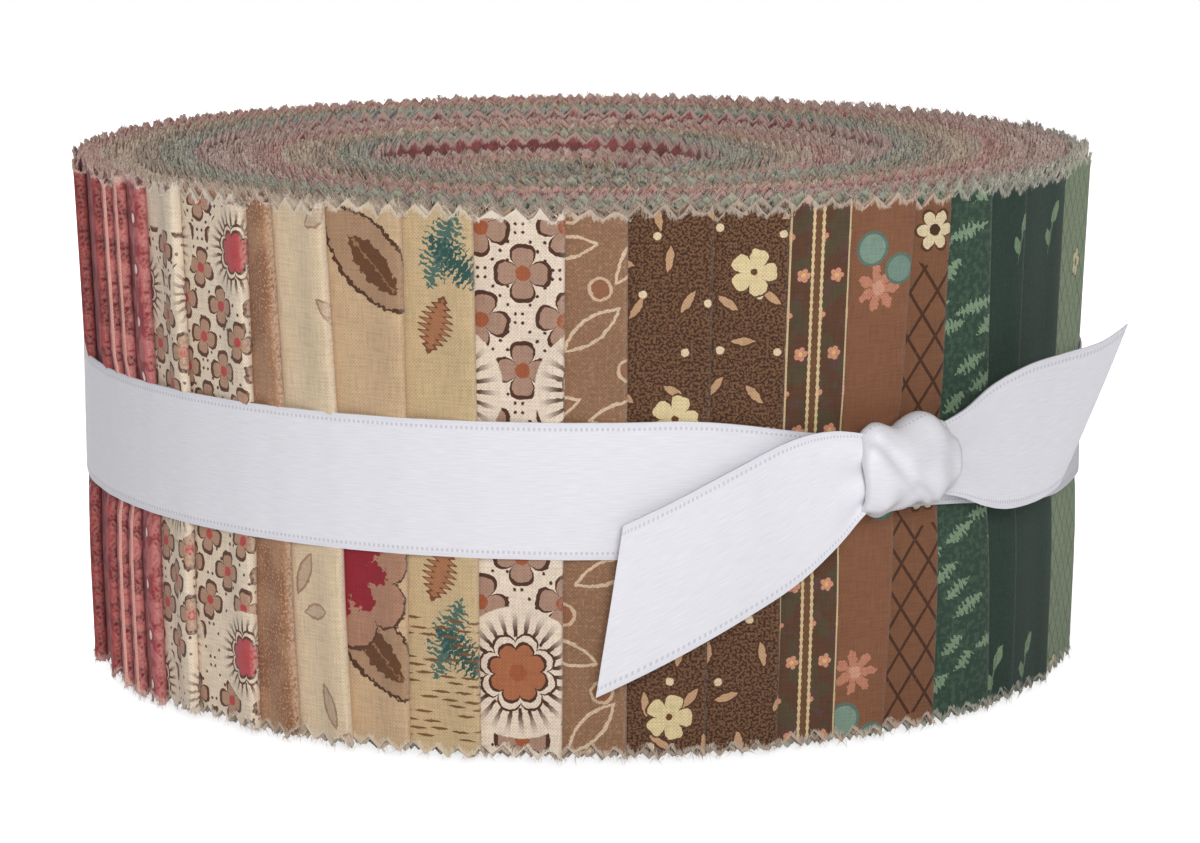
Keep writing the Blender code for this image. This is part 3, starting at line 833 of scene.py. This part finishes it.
# The brown strips
# Two dark brown prints with cream blossoms, leaf pairs and dots on a dense speckle, and a border
# print of dark blocks and small flowers between beaded lines.
def brown_blossoms(shift):
    blossom = {"Across": 19.0, "Up": 17.0, "Stagger": 0.5, "Shift": shift, "Jitter": 1.5}
    return [
        ("speckle", {"Scale": 3.4, "Amount": 0.5, "Softness": 0.045}, {"Speckle": (118, 84, 58)}),
        ("leaf", {"Across": 5.6, "Up": 5.0, "Stagger": 0.35, "Shift": shift, "Length": 3.3,
                  "Width": 1.15, "Spread": 5.0, "Jitter": 1.2, "Share": 0.85, "Ragged": 0.5},
         {"Leaf": (190, 152, 116), "Outline": (86, 54, 36)}),
        ("dots", {"Across": 6.8, "Up": 7.4, "Stagger": 0.6, "Shift": shift + 3.0, "Lift": 2.0,
                  "Size": 0.5, "Jitter": 2.2, "Share": 0.9, "Ragged": 0.3},
         {"Dots": (224, 202, 166)}),
        ("flower", blossom | {"Lift": 3.0, "Size": 3.1, "Petals": 5.0, "Waist": 0.4, "Heart": 0.14,
                              "Notch": 0.12, "Ragged": 0.5, "Line": 0.2, "Ray Reach": 1.3},
         {"Petals": (218, 198, 152), "Outline": (96, 64, 44),
          "Heart": (104, 64, 34)}),
    ]


for number, shift in ((13, 14.0), (14, 24.0)):
    wind_cotton(number, "brown_blossom_cotton", (66, 41, 28), brown_blossoms(shift),
                average=(112, 82, 62), fold_wear_and_highlight=0.15)
BORDER_FLOWER = {"Across": 3.9, "Up": 4.4, "Shift": 3.9, "Stagger": 0.5, "Size": 0.85,
                 "Petals": 5.0, "Waist": 0.6, "Heart": 0.35, "Line": 0.15, "Ragged": 0.3}
CREAM_LINE = (214, 188, 144)
wind_cotton(15, "border_cotton", (92, 62, 43), [
    ("speckle", {"Scale": 0.35, "Amount": 0.5, "Softness": 0.03}, {"Speckle": (84, 71, 50)}),
    ("speckle", {"Scale": 0.5, "Amount": 0.4, "Softness": 0.03}, {"Speckle": (94, 66, 60)}),
    ("flower", BORDER_FLOWER, {"Petals": (206, 142, 116), "Heart": (220, 184, 110)}),
    ("line", {"Place": -4.35, "Width": 1.2}, {"Line": (110, 76, 50)}),
    ("line", {"Place": -4.8, "Width": 0.42, "Bead": 0.8, "Beading": 0.5}, {"Line": CREAM_LINE}),
    ("line", {"Place": -3.7, "Width": 0.42, "Bead": 0.8, "Beading": 0.5}, {"Line": CREAM_LINE}),
    ("line", {"Place": -7.5, "Width": 0.2}, {"Line": CREAM_LINE}),
    ("line", {"Place": -0.55, "Width": 0.2}, {"Line": CREAM_LINE}),
], average=(104, 76, 56), fold_wear_and_highlight=0.1)


# The rust strips
# Rust cotton with teal berries and coral sprigs, and the same rust with a dark lattice, both with
# pale star flowers near the upper edge.
lattice, given, out = new_group(
    "lattice",
    {"Vector": None, "Across": 5.0, "Up": 7.0, "Line": 0.3, "Broken": 0.0},
    {"Lines": "Float"},
)
place = node(lattice, "SeparateXYZ", {0: given["Vector"]}).outputs
column_place = maths(lattice, "DIVIDE", place[0], given["Across"])
row_place = maths(lattice, "DIVIDE", place[1], given["Up"])
masks = []
for operation in ("ADD", "SUBTRACT"):
    run = maths(lattice, operation, row_place, column_place)
    away = times(lattice, less(lattice, maths(lattice, "FRACT", run), 0.5), given["Across"])
    masks.append(line_at(lattice, away, given["Line"]))
grain = node(lattice, "TexNoise", {"Vector": given["Vector"], "Scale": 2.5})
kept = fade(lattice, grain.outputs["Fac"], less(lattice, given["Broken"], 0.1), given["Broken"])
lines = maths(lattice, "MAXIMUM", *masks)
put(lattice, out["Lines"], times(lattice, lines, kept))

print_groups["lattice"] = lattice

RUST_GROUND, STAR = (134, 89, 63), (220, 202, 164)
SPARSE = {"Across": 40.0, "Stagger": 0.0}
wind_cotton(16, "berry_rust_cotton", RUST_GROUND, [
    ("flower", SPARSE | {"Up": 22.0, "Shift": 24.5, "Lift": 2.0, "Size": 2.7, "Petals": 7.0,
                         "Waist": 0.12, "Heart": 0.3, "Ragged": 1.1},
     {"Petals": (190, 128, 102), "Heart": (206, 152, 126)}),
    ("dots", SPARSE | {"Up": 27.0, "Shift": 25.6, "Lift": 10.0, "Size": 1.7, "Line": 0.3},
     {"Dots": (126, 150, 134), "Ring": (92, 116, 104)}),
    ("dots", SPARSE | {"Up": 27.0, "Shift": 22.0, "Lift": 12.4, "Size": 1.5, "Line": 0.3},
     {"Dots": (116, 142, 128), "Ring": (92, 116, 104)}),
], average=(160, 112, 84), fold_wear_and_highlight=0.15)
wind_cotton(17, "lattice_rust_cotton", (126, 84, 58), [
    ("lattice", {"Across": 3.7, "Up": 5.2, "Line": 0.42, "Broken": 0.36}, {"Lines": (74, 45, 28)}),
    ("flower", SPARSE | {"Up": 30.0, "Shift": 22.6, "Lift": 16.0, "Size": 2.5, "Petals": 6.0,
                         "Waist": 0.46, "Heart": 0.3, "Line": 0.3, "Ragged": 0.4},
     {"Ground": (126, 84, 58), "Petals": STAR, "Outline": (84, 52, 34), "Heart": (74, 46, 30)}),
], average=(132, 90, 64), fold_wear_and_highlight=0.15)


# The green strips
# Green with brushed fronds, two dark blue-greens with small leaf sprigs, and a sage with a fine
# lattice and cream flowers.
wind_cotton(18, "frond_green_cotton", (48, 70, 56), [
    ("speckle", {"Scale": 1.3, "Amount": 0.46, "Softness": 0.1}, {"Speckle": (66, 90, 72)}),
    ("leaf", {"Across": 6.4, "Up": 2.2, "Shift": 2.2, "Length": 6.6, "Width": 1.3, "Turn": 0.5,
              "Spread": 0.7, "Serration": 0.3, "Ragged": 1.2, "Share": 0.55, "Stagger": 0.3},
     {"Leaf": (128, 152, 122)}),
], average=(84, 108, 86), fold_wear_and_highlight=0.3)
SMALL_SPRIG = {"Across": 14.0, "Up": 13.0, "Stagger": 0.45, "Length": 3.4, "Width": 1.3,
               "Ragged": 0.6, "Jitter": 1.0}
for number, shift in ((19, 10.5), (20, 13.0)):
    wind_cotton(number, "dark_green_cotton", (36, 57, 47), [
        ("speckle", {"Scale": 2.0, "Amount": 0.45, "Softness": 0.1}, {"Speckle": (42, 63, 52)}),
        ("leaf", SMALL_SPRIG | {"Shift": shift, "Turn": 1.1}, {"Leaf": (128, 150, 116)}),
        ("leaf", SMALL_SPRIG | {"Shift": shift + 1.4, "Lift": 2.8, "Turn": 1.9, "Length": 2.4},
         {"Leaf": (118, 142, 110)}),
        ("leaf", SMALL_SPRIG | {"Shift": shift + 0.6, "Lift": 1.6, "Turn": 1.35, "Length": 8.0,
                                "Width": 0.35}, {"Leaf": (100, 124, 96)}),
    ], average=(54, 76, 64), fold_wear_and_highlight=0.15)
wind_cotton(21, "lattice_sage_cotton", (134, 150, 116), [
    ("lattice", {"Across": 2.6, "Up": 3.4, "Line": 0.26, "Broken": 0.42}, {"Lines": (92, 114, 84)}),
    ("flower", {"Across": 10.0, "Up": 16.0, "Shift": 5.0, "Lift": 6.0, "Size": 1.9, "Petals": 5.0,
                "Waist": 0.5, "Heart": 0.3, "Share": 0.8, "Jitter": 2.0, "Ragged": 0.4},
     {"Petals": (218, 208, 164), "Outline": (84, 92, 60), "Heart": (120, 96, 50)}),
], average=(106, 120, 92), fold_wear_and_highlight=0.25)


# The strips round the back
# The rest of the pack by colour: grey-greens and teal, then rose and wine reds, then dusty
# pinks and reds, each with a small print of dots, leaves, flowers or lattice.
BACK_GROUNDS = (
    (108, 120, 106), (90, 108, 100), (76, 96, 96), (138, 62, 66), (98, 42, 46), (160, 92, 92),
    (118, 88, 84), (178, 132, 126), (190, 146, 138), (168, 112, 108), (186, 126, 122),
    (116, 44, 48), (176, 112, 110), (160, 86, 86), (204, 156, 148), (172, 98, 98), (146, 66, 66),
    (122, 46, 48),
)
for place, base in enumerate(BACK_GROUNDS):
    number = len(FRONT_FOLDS) + place
    light, deep = blend_of(base, FRAY_COLOUR, 0.6), blend_of(base, (40, 28, 26), 0.45)
    even = {"Across": 5.6 + place % 3, "Up": 5.2 + place % 4, "Stagger": 0.5, "Ragged": 0.4}
    small_prints = (
        ("dots", even | {"Size": 0.5 + 0.1 * (place % 2), "Line": 0.3},
         {"Dots": light, "Ring": deep}),
        ("leaf", even | {"Length": 4.2, "Width": 1.4, "Spread": 3.0},
         {"Leaf": light, "Vein": deep}),
        ("flower", even | {"Size": 1.8, "Petals": 5.0, "Waist": 0.4},
         {"Petals": light, "Heart": deep}),
        ("lattice", {"Across": 3.6, "Up": 4.4, "Line": 0.35, "Broken": 0.4}, {"Lines": deep}),
    )
    wind_cotton(number, "back_cotton", base, [
        ("speckle", BLOTCHES, {"Speckle": blend_of(base, deep, 0.5)}), small_prints[place % 4],
    ], average=blend_of(base, light, 0.15), fold_wear_and_highlight=0.3)


# The frayed threads
# The pinked edges fray: short ends of cotton thread stand up from every tooth, in the paled
# colour of their own strip; most of those inside the top are darkened with painted shade, and
# partly dirt. All of them are one mesh of thin pointed needles.
LINT_LENGTHS = (0.35 * MM, 1.25 * MM)
LINT_HALF_THICKNESS = 0.045 * MM
LINT_ROOT = 0.25 * MM
LINT_SPREAD = 0.6 * MM
OUTER_THREADS, SECOND_THREAD = 4, 0.12
OUTER_DEPTH = 1.5 * MM
# The deep brown that the threads inside the top are darkened towards: painted shade, and partly
# dirt.
FRAY_SHADE_AND_DIRT = (58, 42, 38)

chance = random.Random(77)
lint_points, lint_faces, lint_dyes_and_shades = [], [], []
for point, number, upward in frayed_edge:
    outward = Vector((point.x, point.y, 0.0)).normalized()
    around = Vector((-outward.y, outward.x, 0.0))
    outside = point.xy.length > WALL_RADIUS - OUTER_DEPTH
    ends = OUTER_THREADS if outside else 1 + (chance.random() < SECOND_THREAD)
    for _ in range(ends):
        start = point + around * chance.uniform(-LINT_SPREAD, LINT_SPREAD)
        lie = around * chance.uniform(-1.0, 1.0) + outward * chance.uniform(-0.7, 0.5)
        lie = (lie + Vector((0.0, 0.0, upward * chance.uniform(0.15, 0.9)))).normalized()
        length = LINT_LENGTHS[0] + (LINT_LENGTHS[1] - LINT_LENGTHS[0]) * chance.random() ** 2
        across = lie.cross(outward + 0.3 * around).normalized() * LINT_HALF_THICKNESS
        third = lie.cross(across)
        base = len(lint_points)
        root = start - Vector((0.0, 0.0, upward * LINT_ROOT))
        root.z = max(LINT_HALF_THICKNESS, root.z)
        tip = start + lie * length
        tip.z = max(0.0, tip.z)
        back = root - 0.5 * across
        lint_points += [root + across, back + 0.87 * third, back - 0.87 * third, tip]
        lint_faces += [
            (base, base + 1, base + 3), (base + 1, base + 2, base + 3),
            (base + 2, base, base + 3), (base + 2, base + 1, base),
        ]
        # Threads on the outside are paled. Most of those inside the top are darkened towards a deep
        # brown, which is painted shade of the recess between the layers and partly dirt.
        shade = chance.random()
        if outside:
            dye_and_shade = blend_of(lint_tones[number], FRAY_COLOUR, 0.4 + 0.6 * shade)
        elif shade < 0.6:
            dye_and_shade = blend_of(FRAY_SHADE_AND_DIRT, lint_tones[number], 0.1 + 1.5 * shade)
        else:
            dye_and_shade = blend_of(lint_tones[number], FRAY_COLOUR, 2.0 * (shade - 0.6))
        lint_dyes_and_shades += tone(dye_and_shade) * 4
lint_mesh = bpy.data.meshes.new("frayed_threads")
lint_mesh.from_pydata(lint_points, [], lint_faces)
dye_and_shade_map = lint_mesh.attributes.new("dye_and_shade", "FLOAT_COLOR", "POINT")
dye_and_shade_map.data.foreach_set("color", lint_dyes_and_shades)
lint_map = lint_mesh.uv_layers.new(name="OFBake", do_init=False)
cells = math.ceil(math.sqrt(len(lint_faces) / 4))
for face in lint_mesh.polygons:
    column, row = divmod(face.index // 4, cells)
    for i, corner in zip(face.loop_indices, ((0.15, 0.15), (0.15, 0.85), (0.85, 0.5))):
        lint_map.data[i].uv = ((column + corner[0]) / cells, (row + corner[1]) / cells)
lint = bpy.data.objects.new("frayed_threads", lint_mesh)
bpy.context.scene.collection.objects.link(lint)
lint_material = bpy.data.materials.new("frayed_cotton")
lint_material.use_nodes = True
tree = lint_material.node_tree
dyed_and_shaded = node(tree, "Attribute", attribute_name="dye_and_shade", attribute_type="GEOMETRY").outputs["Color"]
own_place = node(tree, "TexCoord").outputs["Object"]
twist = node(tree, "TexNoise", {"Vector": own_place, "Scale": 4000.0})
twisted = paint(tree, fade(tree, twist.outputs["Fac"], 0.45, 1.1), dyed_and_shaded, tone(FRAY_COLOUR))
put(tree, tree.nodes["Principled BSDF"].inputs["Base Color"], twisted)
tree.nodes["Principled BSDF"].inputs["Roughness"].default_value = 0.95
tree.nodes["Principled BSDF"].inputs["Specular IOR Level"].default_value = 0.15
lint_mesh.materials.append(lint_material)
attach(lint, "root")
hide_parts("strip_roll")


# The satin ribbon
# One length of 15.4 mm white satin ribbon with woven edges. It goes once round the roll, is tied
# over itself in a single overhand knot, and its two tails are cut on a slant.
RIBBON_WIDTH = 15.4 * MM
SATIN = 0.26 * MM
BAND_RADIUS = 62.62 * MM
BAND_SAG = 0.1 * MM
CAD_INNER_RADIUS = 62.465 * MM
PINCHED_WIDTH = 7.8 * MM
PINCH_REACH = (34.0, 24.0)
RIGHT_DROP = 0.8 * MM
PLEAT_DEPTH = 0.6 * MM
KNOT_AZIMUTH = 32.8
KNOT_HEIGHT = 32.5 * MM
KNOT_RADIUS = 66.1 * MM
KNOT_HALF_WIDTH = 6.1
STITCH_INSET = 0.75
STITCH_PITCH = 0.58
TAIL_PLEATS_END, TAIL_BELLY = 0.55, 0.25 * MM
KNOT_SIDE = 1.12
LEFT_LENGTH, RIGHT_LENGTH, KNOT_LENGTH = 0.045, 0.04, 0.034

# Tail edges from the knot outwards: azimuth, height and distance off the wall of the upper
# edge, then the same of the lower edge
LEFT_TAIL = (
    (32.5, 35.6, 5.0, 32.5, 30.8, 4.6), (28.8, 37.2, 4.8, 28.8, 29.2, 4.4),
    (24.6, 38.0, 3.6, 25.4, 24.8, 3.4),
    (20.6, 36.9, 1.9, 21.6, 20.7, 2.1), (14.6, 33.9, 1.7, 15.0, 16.6, 2.1),
    (9.0, 30.9, 1.8, 8.0, 12.7, 2.5), (3.9, 28.4, 2.2, 1.2, 9.2, 3.1),
)
RIGHT_TAIL = (
    (33.0, 35.4, 3.2, 33.0, 30.6, 3.2), (37.0, 36.8, 3.1, 37.0, 29.4, 3.0),
    (41.4, 38.4, 3.1, 41.2, 28.3, 3.0),
    (45.6, 40.9, 3.3, 44.4, 26.9, 3.2), (50.6, 42.6, 4.3, 47.4, 26.1, 3.7),
    (55.6, 43.3, 5.7, 50.3, 26.2, 4.4), (60.2, 44.0, 7.6, 52.6, 26.8, 5.1),
    (63.5, 45.6, 9.2, 54.5, 27.7, 5.6),
)

# The knot's outer turn from its left edge to its right one: place, height of its top and of its
# bottom above and below the knot's middle, and half its depth
KNOT_TURN = (
    (-1.12, 3.4, -3.0, 1.5), (-1.0, 5.0, -3.9, 2.5), (-0.6, 6.0, -4.4, 3.3),
    (-0.2, 5.5, -4.1, 3.4), (0.2, 6.4, -3.7, 3.7), (0.6, 6.2, -3.6, 3.4),
    (0.95, 5.2, -3.0, 2.7), (1.12, 3.8, -2.2, 1.9),
)


def along_rows(rows, place):
    """A row of values between the table's rows, on a smooth curve through them."""
    low = min(max(0, int(place)), len(rows) - 2)
    share = place - low
    before, start, end, after = (
        rows[min(max(0, low + step), len(rows) - 1)] for step in (-1, 0, 1, 2)
    )
    return [
        b + 0.5 * share * (
            c - a + share * (2 * a - 5 * b + 4 * c - d + share * (3 * b - a - 3 * c + d))
        )
        for a, b, c, d in zip(before, start, end, after)
    ]


def ribbon_grid(along_cuts, across_cuts):
    """A flat grid with its own map, whose points are moved to their places afterwards."""
    bpy.ops.mesh.primitive_grid_add(x_subdivisions=along_cuts, y_subdivisions=across_cuts, size=1.0)
    made = bpy.context.object
    made.data.uv_layers[0].name = "print"
    return made


def place_ribbon(made, place_point, length, width):
    """Moves a grid's points by their shares along and across, and lays its map in metres."""
    mesh = made.data
    shares = [(v.co.x + 0.5, v.co.y + 0.5) for v in mesh.vertices]
    for v, (along, across) in zip(mesh.vertices, shares):
        v.co = place_point(along, across)
    for loop in mesh.loops:
        along, across = shares[loop.vertex_index]
        mesh.uv_layers["print"].data[loop.index].uv = (along * length, (across - 0.5) * width)
    made.select_set(False)
    return made


middle_folds = folds_at(0.5)


def band_point(along, across):
    azimuth = KNOT_AZIMUTH + 360.0 * along
    away = min(along, 1.0 - along) * 360.0
    right = along < 0.5
    gather = 1.0 - ease(away / PINCH_REACH[0 if right else 1])
    width = RIBBON_WIDTH + gather * (PINCHED_WIDTH - RIBBON_WIDTH)
    middle = WAIST + gather * (KNOT_HEIGHT - WAIST) - (RIGHT_DROP * gather if right else 0.0)
    strip_share = stack_place(azimuth, middle_folds) % 1.0
    radius = BAND_RADIUS - BAND_SAG * math.sin(math.pi * strip_share)
    pleat = 0.5 + 0.5 * math.cos(math.tau * (2.4 * across + 0.15) + 0.06 * away)
    radius += PLEAT_DEPTH * gather * pleat
    return cylinder_point(azimuth, radius, middle + width * (across - 0.5))


def tail_point(rows, along, across, pleats, shift):
    """A point of a tail, with pleats that run out from the knot and die away."""
    top_azimuth, top, top_off, azimuth, low, off = along_rows(rows, along * (len(rows) - 1))
    azimuth += across * (top_azimuth - azimuth)
    height = (low + across * (top - low)) * MM
    radius = CAD_INNER_RADIUS + (off + across * (top_off - off)) * MM
    fading = (1.0 - ease(along / TAIL_PLEATS_END)) ** 1.4
    wave = math.cos(math.tau * (pleats * across + shift) + 3.0 * along)
    radius += PLEAT_DEPTH * fading * wave
    height += 0.5 * PLEAT_DEPTH * fading * math.sin(math.tau * (pleats * across + shift))
    radius += TAIL_BELLY * math.sin(math.pi * along) * math.sin(math.pi * across)
    return cylinder_point(azimuth, radius, height)


def left_tail_point(along, across):
    return tail_point(LEFT_TAIL, along, 1.0 - across, 2.3, 0.1)


def right_tail_point(along, across):
    return tail_point(RIGHT_TAIL, along, across, 2.1, 0.35)


def knot_point(along, across):
    """A point of the turn that wraps the knot, with the creases that run round it."""
    side = -KNOT_SIDE + 2.0 * KNOT_SIDE * along
    number = 0
    while number < len(KNOT_TURN) - 2 and KNOT_TURN[number + 1][0] < side:
        number += 1
    start, end = KNOT_TURN[number][0], KNOT_TURN[number + 1][0]
    _, top, bottom, depth = along_rows(KNOT_TURN, number + (side - start) / (end - start))
    turn = math.tau * (across - 0.5)
    reach = top if math.sin(turn) > 0.0 else -bottom
    swell = 0.5 + 0.5 * math.cos(math.tau * (1.6 * side + 0.12 * math.sin(turn + 0.7) + 0.1))
    crease = abs(math.sin(1.7 * side + 1.1 * turn + 0.4))
    swell = 0.35 * swell - 0.4 * (1.0 - ease(crease / 0.35))
    crumple = Vector((2.0 * side, 1.3 * math.sin(turn), 1.3 * math.cos(turn) + 4.0))
    swell += 0.6 * noise.noise(crumple)
    swell -= 0.7 * math.exp(-(((side - 0.05) / 0.5) ** 2) - ((turn + 0.55) / 0.45) ** 2)
    height = (reach + swell) * math.sin(turn) * MM
    radius = KNOT_RADIUS + (depth + swell) * math.cos(turn) * MM
    half_width = KNOT_HALF_WIDTH + 0.25 * math.sin(2.0 * turn + 0.5)
    azimuth = KNOT_AZIMUTH + math.degrees(half_width * MM * min(1.0, max(-1.0, side)) / KNOT_RADIUS)
    return cylinder_point(azimuth, max(CAD_INNER_RADIUS + 0.4 * MM, radius), KNOT_HEIGHT + height)


band = place_ribbon(ribbon_grid(300, 16), band_point, math.tau * BAND_RADIUS, RIBBON_WIDTH)
left_tail = place_ribbon(ribbon_grid(60, 18), left_tail_point, LEFT_LENGTH, -RIBBON_WIDTH)
right_tail = place_ribbon(ribbon_grid(60, 18), right_tail_point, RIGHT_LENGTH, RIBBON_WIDTH)
knot_turn = place_ribbon(ribbon_grid(40, 64), knot_point, RIBBON_WIDTH, KNOT_LENGTH)
bpy.ops.object.select_all(action="DESELECT")
for part in (left_tail, right_tail, knot_turn, band):
    part.select_set(True)
bpy.context.view_layer.objects.active = band
bpy.ops.object.join()
ribbon = bpy.context.object
ribbon.name = "satin_ribbon"
ribbon.data.name = "satin_ribbon"
bpy.ops.object.mode_set(mode="EDIT")
bpy.ops.mesh.select_all(action="SELECT")
bpy.ops.mesh.remove_doubles(threshold=0.01 * MM)
bpy.ops.object.mode_set(mode="OBJECT")
satin_thickness = ribbon.modifiers.new("thickness", "SOLIDIFY")
satin_thickness.thickness = SATIN
satin_thickness.offset = -1.0
bpy.ops.object.modifier_apply(modifier="thickness")
bpy.ops.object.shade_smooth_by_angle(angle=math.radians(60.0))

satin = bpy.data.materials.new("white_satin")
satin.use_nodes = True
tree = satin.node_tree
in_mm = map_in_mm(tree)
along, across = node(tree, "SeparateXYZ", {0: in_mm}).outputs[:2]
edge_distance = less(tree, RIBBON_WIDTH / MM / 2.0, maths(tree, "ABSOLUTE", across))
stitch = maths(tree, "SINE", times(tree, along, math.tau / STITCH_PITCH))
stitch_line = line_at(tree, less(tree, edge_distance, STITCH_INSET), 0.3)
stitched = times(tree, stitch_line, fade(tree, stitch, -0.3, 0.7))
woven_edge = fade(tree, edge_distance, STITCH_INSET, 0.2)
long_threads = node(tree, "VectorMath", {0: in_mm, 1: (0.4, 9.0, 1.0)}, operation="MULTIPLY")
floats = node(tree, "TexNoise", {"Vector": long_threads.outputs[0], "Scale": 1.0, "Detail": 2.0})
cross_threads = node(tree, "VectorMath", {0: in_mm, 1: (2.6, 0.35, 1.0)}, operation="MULTIPLY")
picks = node(tree, "TexNoise", {"Vector": cross_threads.outputs[0], "Scale": 1.0, "Detail": 2.0})
streaks = fade(tree, floats.outputs["Fac"], 0.3, 0.75)
colour = paint(tree, streaks, tone((227, 226, 232)), tone((236, 235, 240)))
colour = paint(tree, times(tree, stitched, 0.55), colour, tone((178, 176, 190)))
colour = paint(tree, times(tree, woven_edge, 0.35), colour, tone((214, 212, 222)))
satin_shader = tree.nodes["Principled BSDF"]
put(tree, satin_shader.inputs["Base Color"], colour)
roughness = plus(tree, 0.34, times(tree, picks.outputs["Fac"], 0.12))
put(tree, satin_shader.inputs["Roughness"], plus(tree, roughness, times(tree, woven_edge, 0.2)))
weave_height = times(tree, plus(tree, floats.outputs["Fac"], picks.outputs["Fac"]), 0.25)
weave_height = less(tree, weave_height, times(tree, stitched, 0.8))
satin_bump = node(tree, "Bump", {"Height": weave_height, "Strength": 0.4, "Distance": 0.08 * MM})
put(tree, satin_shader.inputs["Normal"], satin_bump.outputs["Normal"])
satin_shader.inputs["Sheen Weight"].default_value = 0.1
satin_shader.inputs["Specular IOR Level"].default_value = 0.45
satin_shader.inputs["Anisotropic"].default_value = 0.4
ribbon.data.materials.append(satin)
ribbon.select_set(False)
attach(ribbon, "root")
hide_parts("ribbon_tie")


# The studio
# The roll stands on a plain white table, in soft light from the front, a little to the right,
# with a lamp above the roll and a weak one behind it.
ROOM_LIGHT = 0.13
TABLE_SIZE, TABLE_GLOW = 1.8, 0.76
LAMPS = (
    ("key", 4.4, 0.32, (0.1, -0.84, 0.3)), ("top_light", 4.6, 0.45, (-0.22, 0.12, 1.1)),
    ("back_light", 3.4, 0.6, (-0.4, 0.8, 0.45)),
)
LAMP_AIM = Vector((0.0, 0.0, 0.03))
CAMERA_PLACE = (0.0, -0.4566, 0.1130)
CAMERA_TURN = (79.46, 0.0, -0.269)
LENS, SENSOR = 109.7, 36.0
bpy.ops.mesh.primitive_plane_add(size=TABLE_SIZE)
table = bpy.context.object
table.name = "table"
table_paint = bpy.data.materials.new("white_table")
table_paint.use_nodes = True
tree = table_paint.node_tree
table_shader = tree.nodes["Principled BSDF"]
grain = node(tree, "TexNoise", {"Vector": node(tree, "TexCoord").outputs["Object"], "Scale": 60.0})
shade = paint(tree, grain.outputs["Fac"], tone((240, 240, 242)), tone((246, 246, 248)))
put(tree, table_shader.inputs["Base Color"], shade)
table_shader.inputs["Roughness"].default_value = 0.7
table_shader.inputs["Emission Color"].default_value = (1.0, 1.0, 1.0, 1.0)
seen = node(tree, "LightPath").outputs["Is Camera Ray"]
put(tree, table_shader.inputs["Emission Strength"], times(tree, seen, TABLE_GLOW))
table.data.materials.append(table_paint)

world = bpy.data.worlds.new("studio")
bpy.context.scene.world = world
world.use_nodes = True
tree = world.node_tree
backdrop = tree.nodes["Background"]
backdrop.inputs["Color"].default_value = (1.0, 1.0, 1.0, 1.0)
seen = node(tree, "LightPath").outputs["Is Camera Ray"]
strength = plus(tree, ROOM_LIGHT, times(tree, seen, 1.0 - ROOM_LIGHT))
put(tree, backdrop.inputs["Strength"], strength)
for name, watts, size, place in LAMPS:
    lamp = bpy.data.lights.new(name, "AREA")
    lamp.energy = watts
    lamp.size = size
    light = bpy.data.objects.new(name, lamp)
    bpy.context.scene.collection.objects.link(light)
    light.location = place
    aim = LAMP_AIM - light.location
    light.rotation_euler = aim.to_track_quat("-Z", "Y").to_euler()

bpy.context.scene.view_settings.view_transform = "Standard"
lens = bpy.data.cameras.new("camera")
lens.lens = LENS
lens.sensor_width = SENSOR
lens.clip_start = 0.01
camera = bpy.data.objects.new("camera", lens)
bpy.context.scene.collection.objects.link(camera)
camera.location = CAMERA_PLACE
camera.rotation_euler = [math.radians(turn) for turn in CAMERA_TURN]
bpy.context.scene.camera = camera
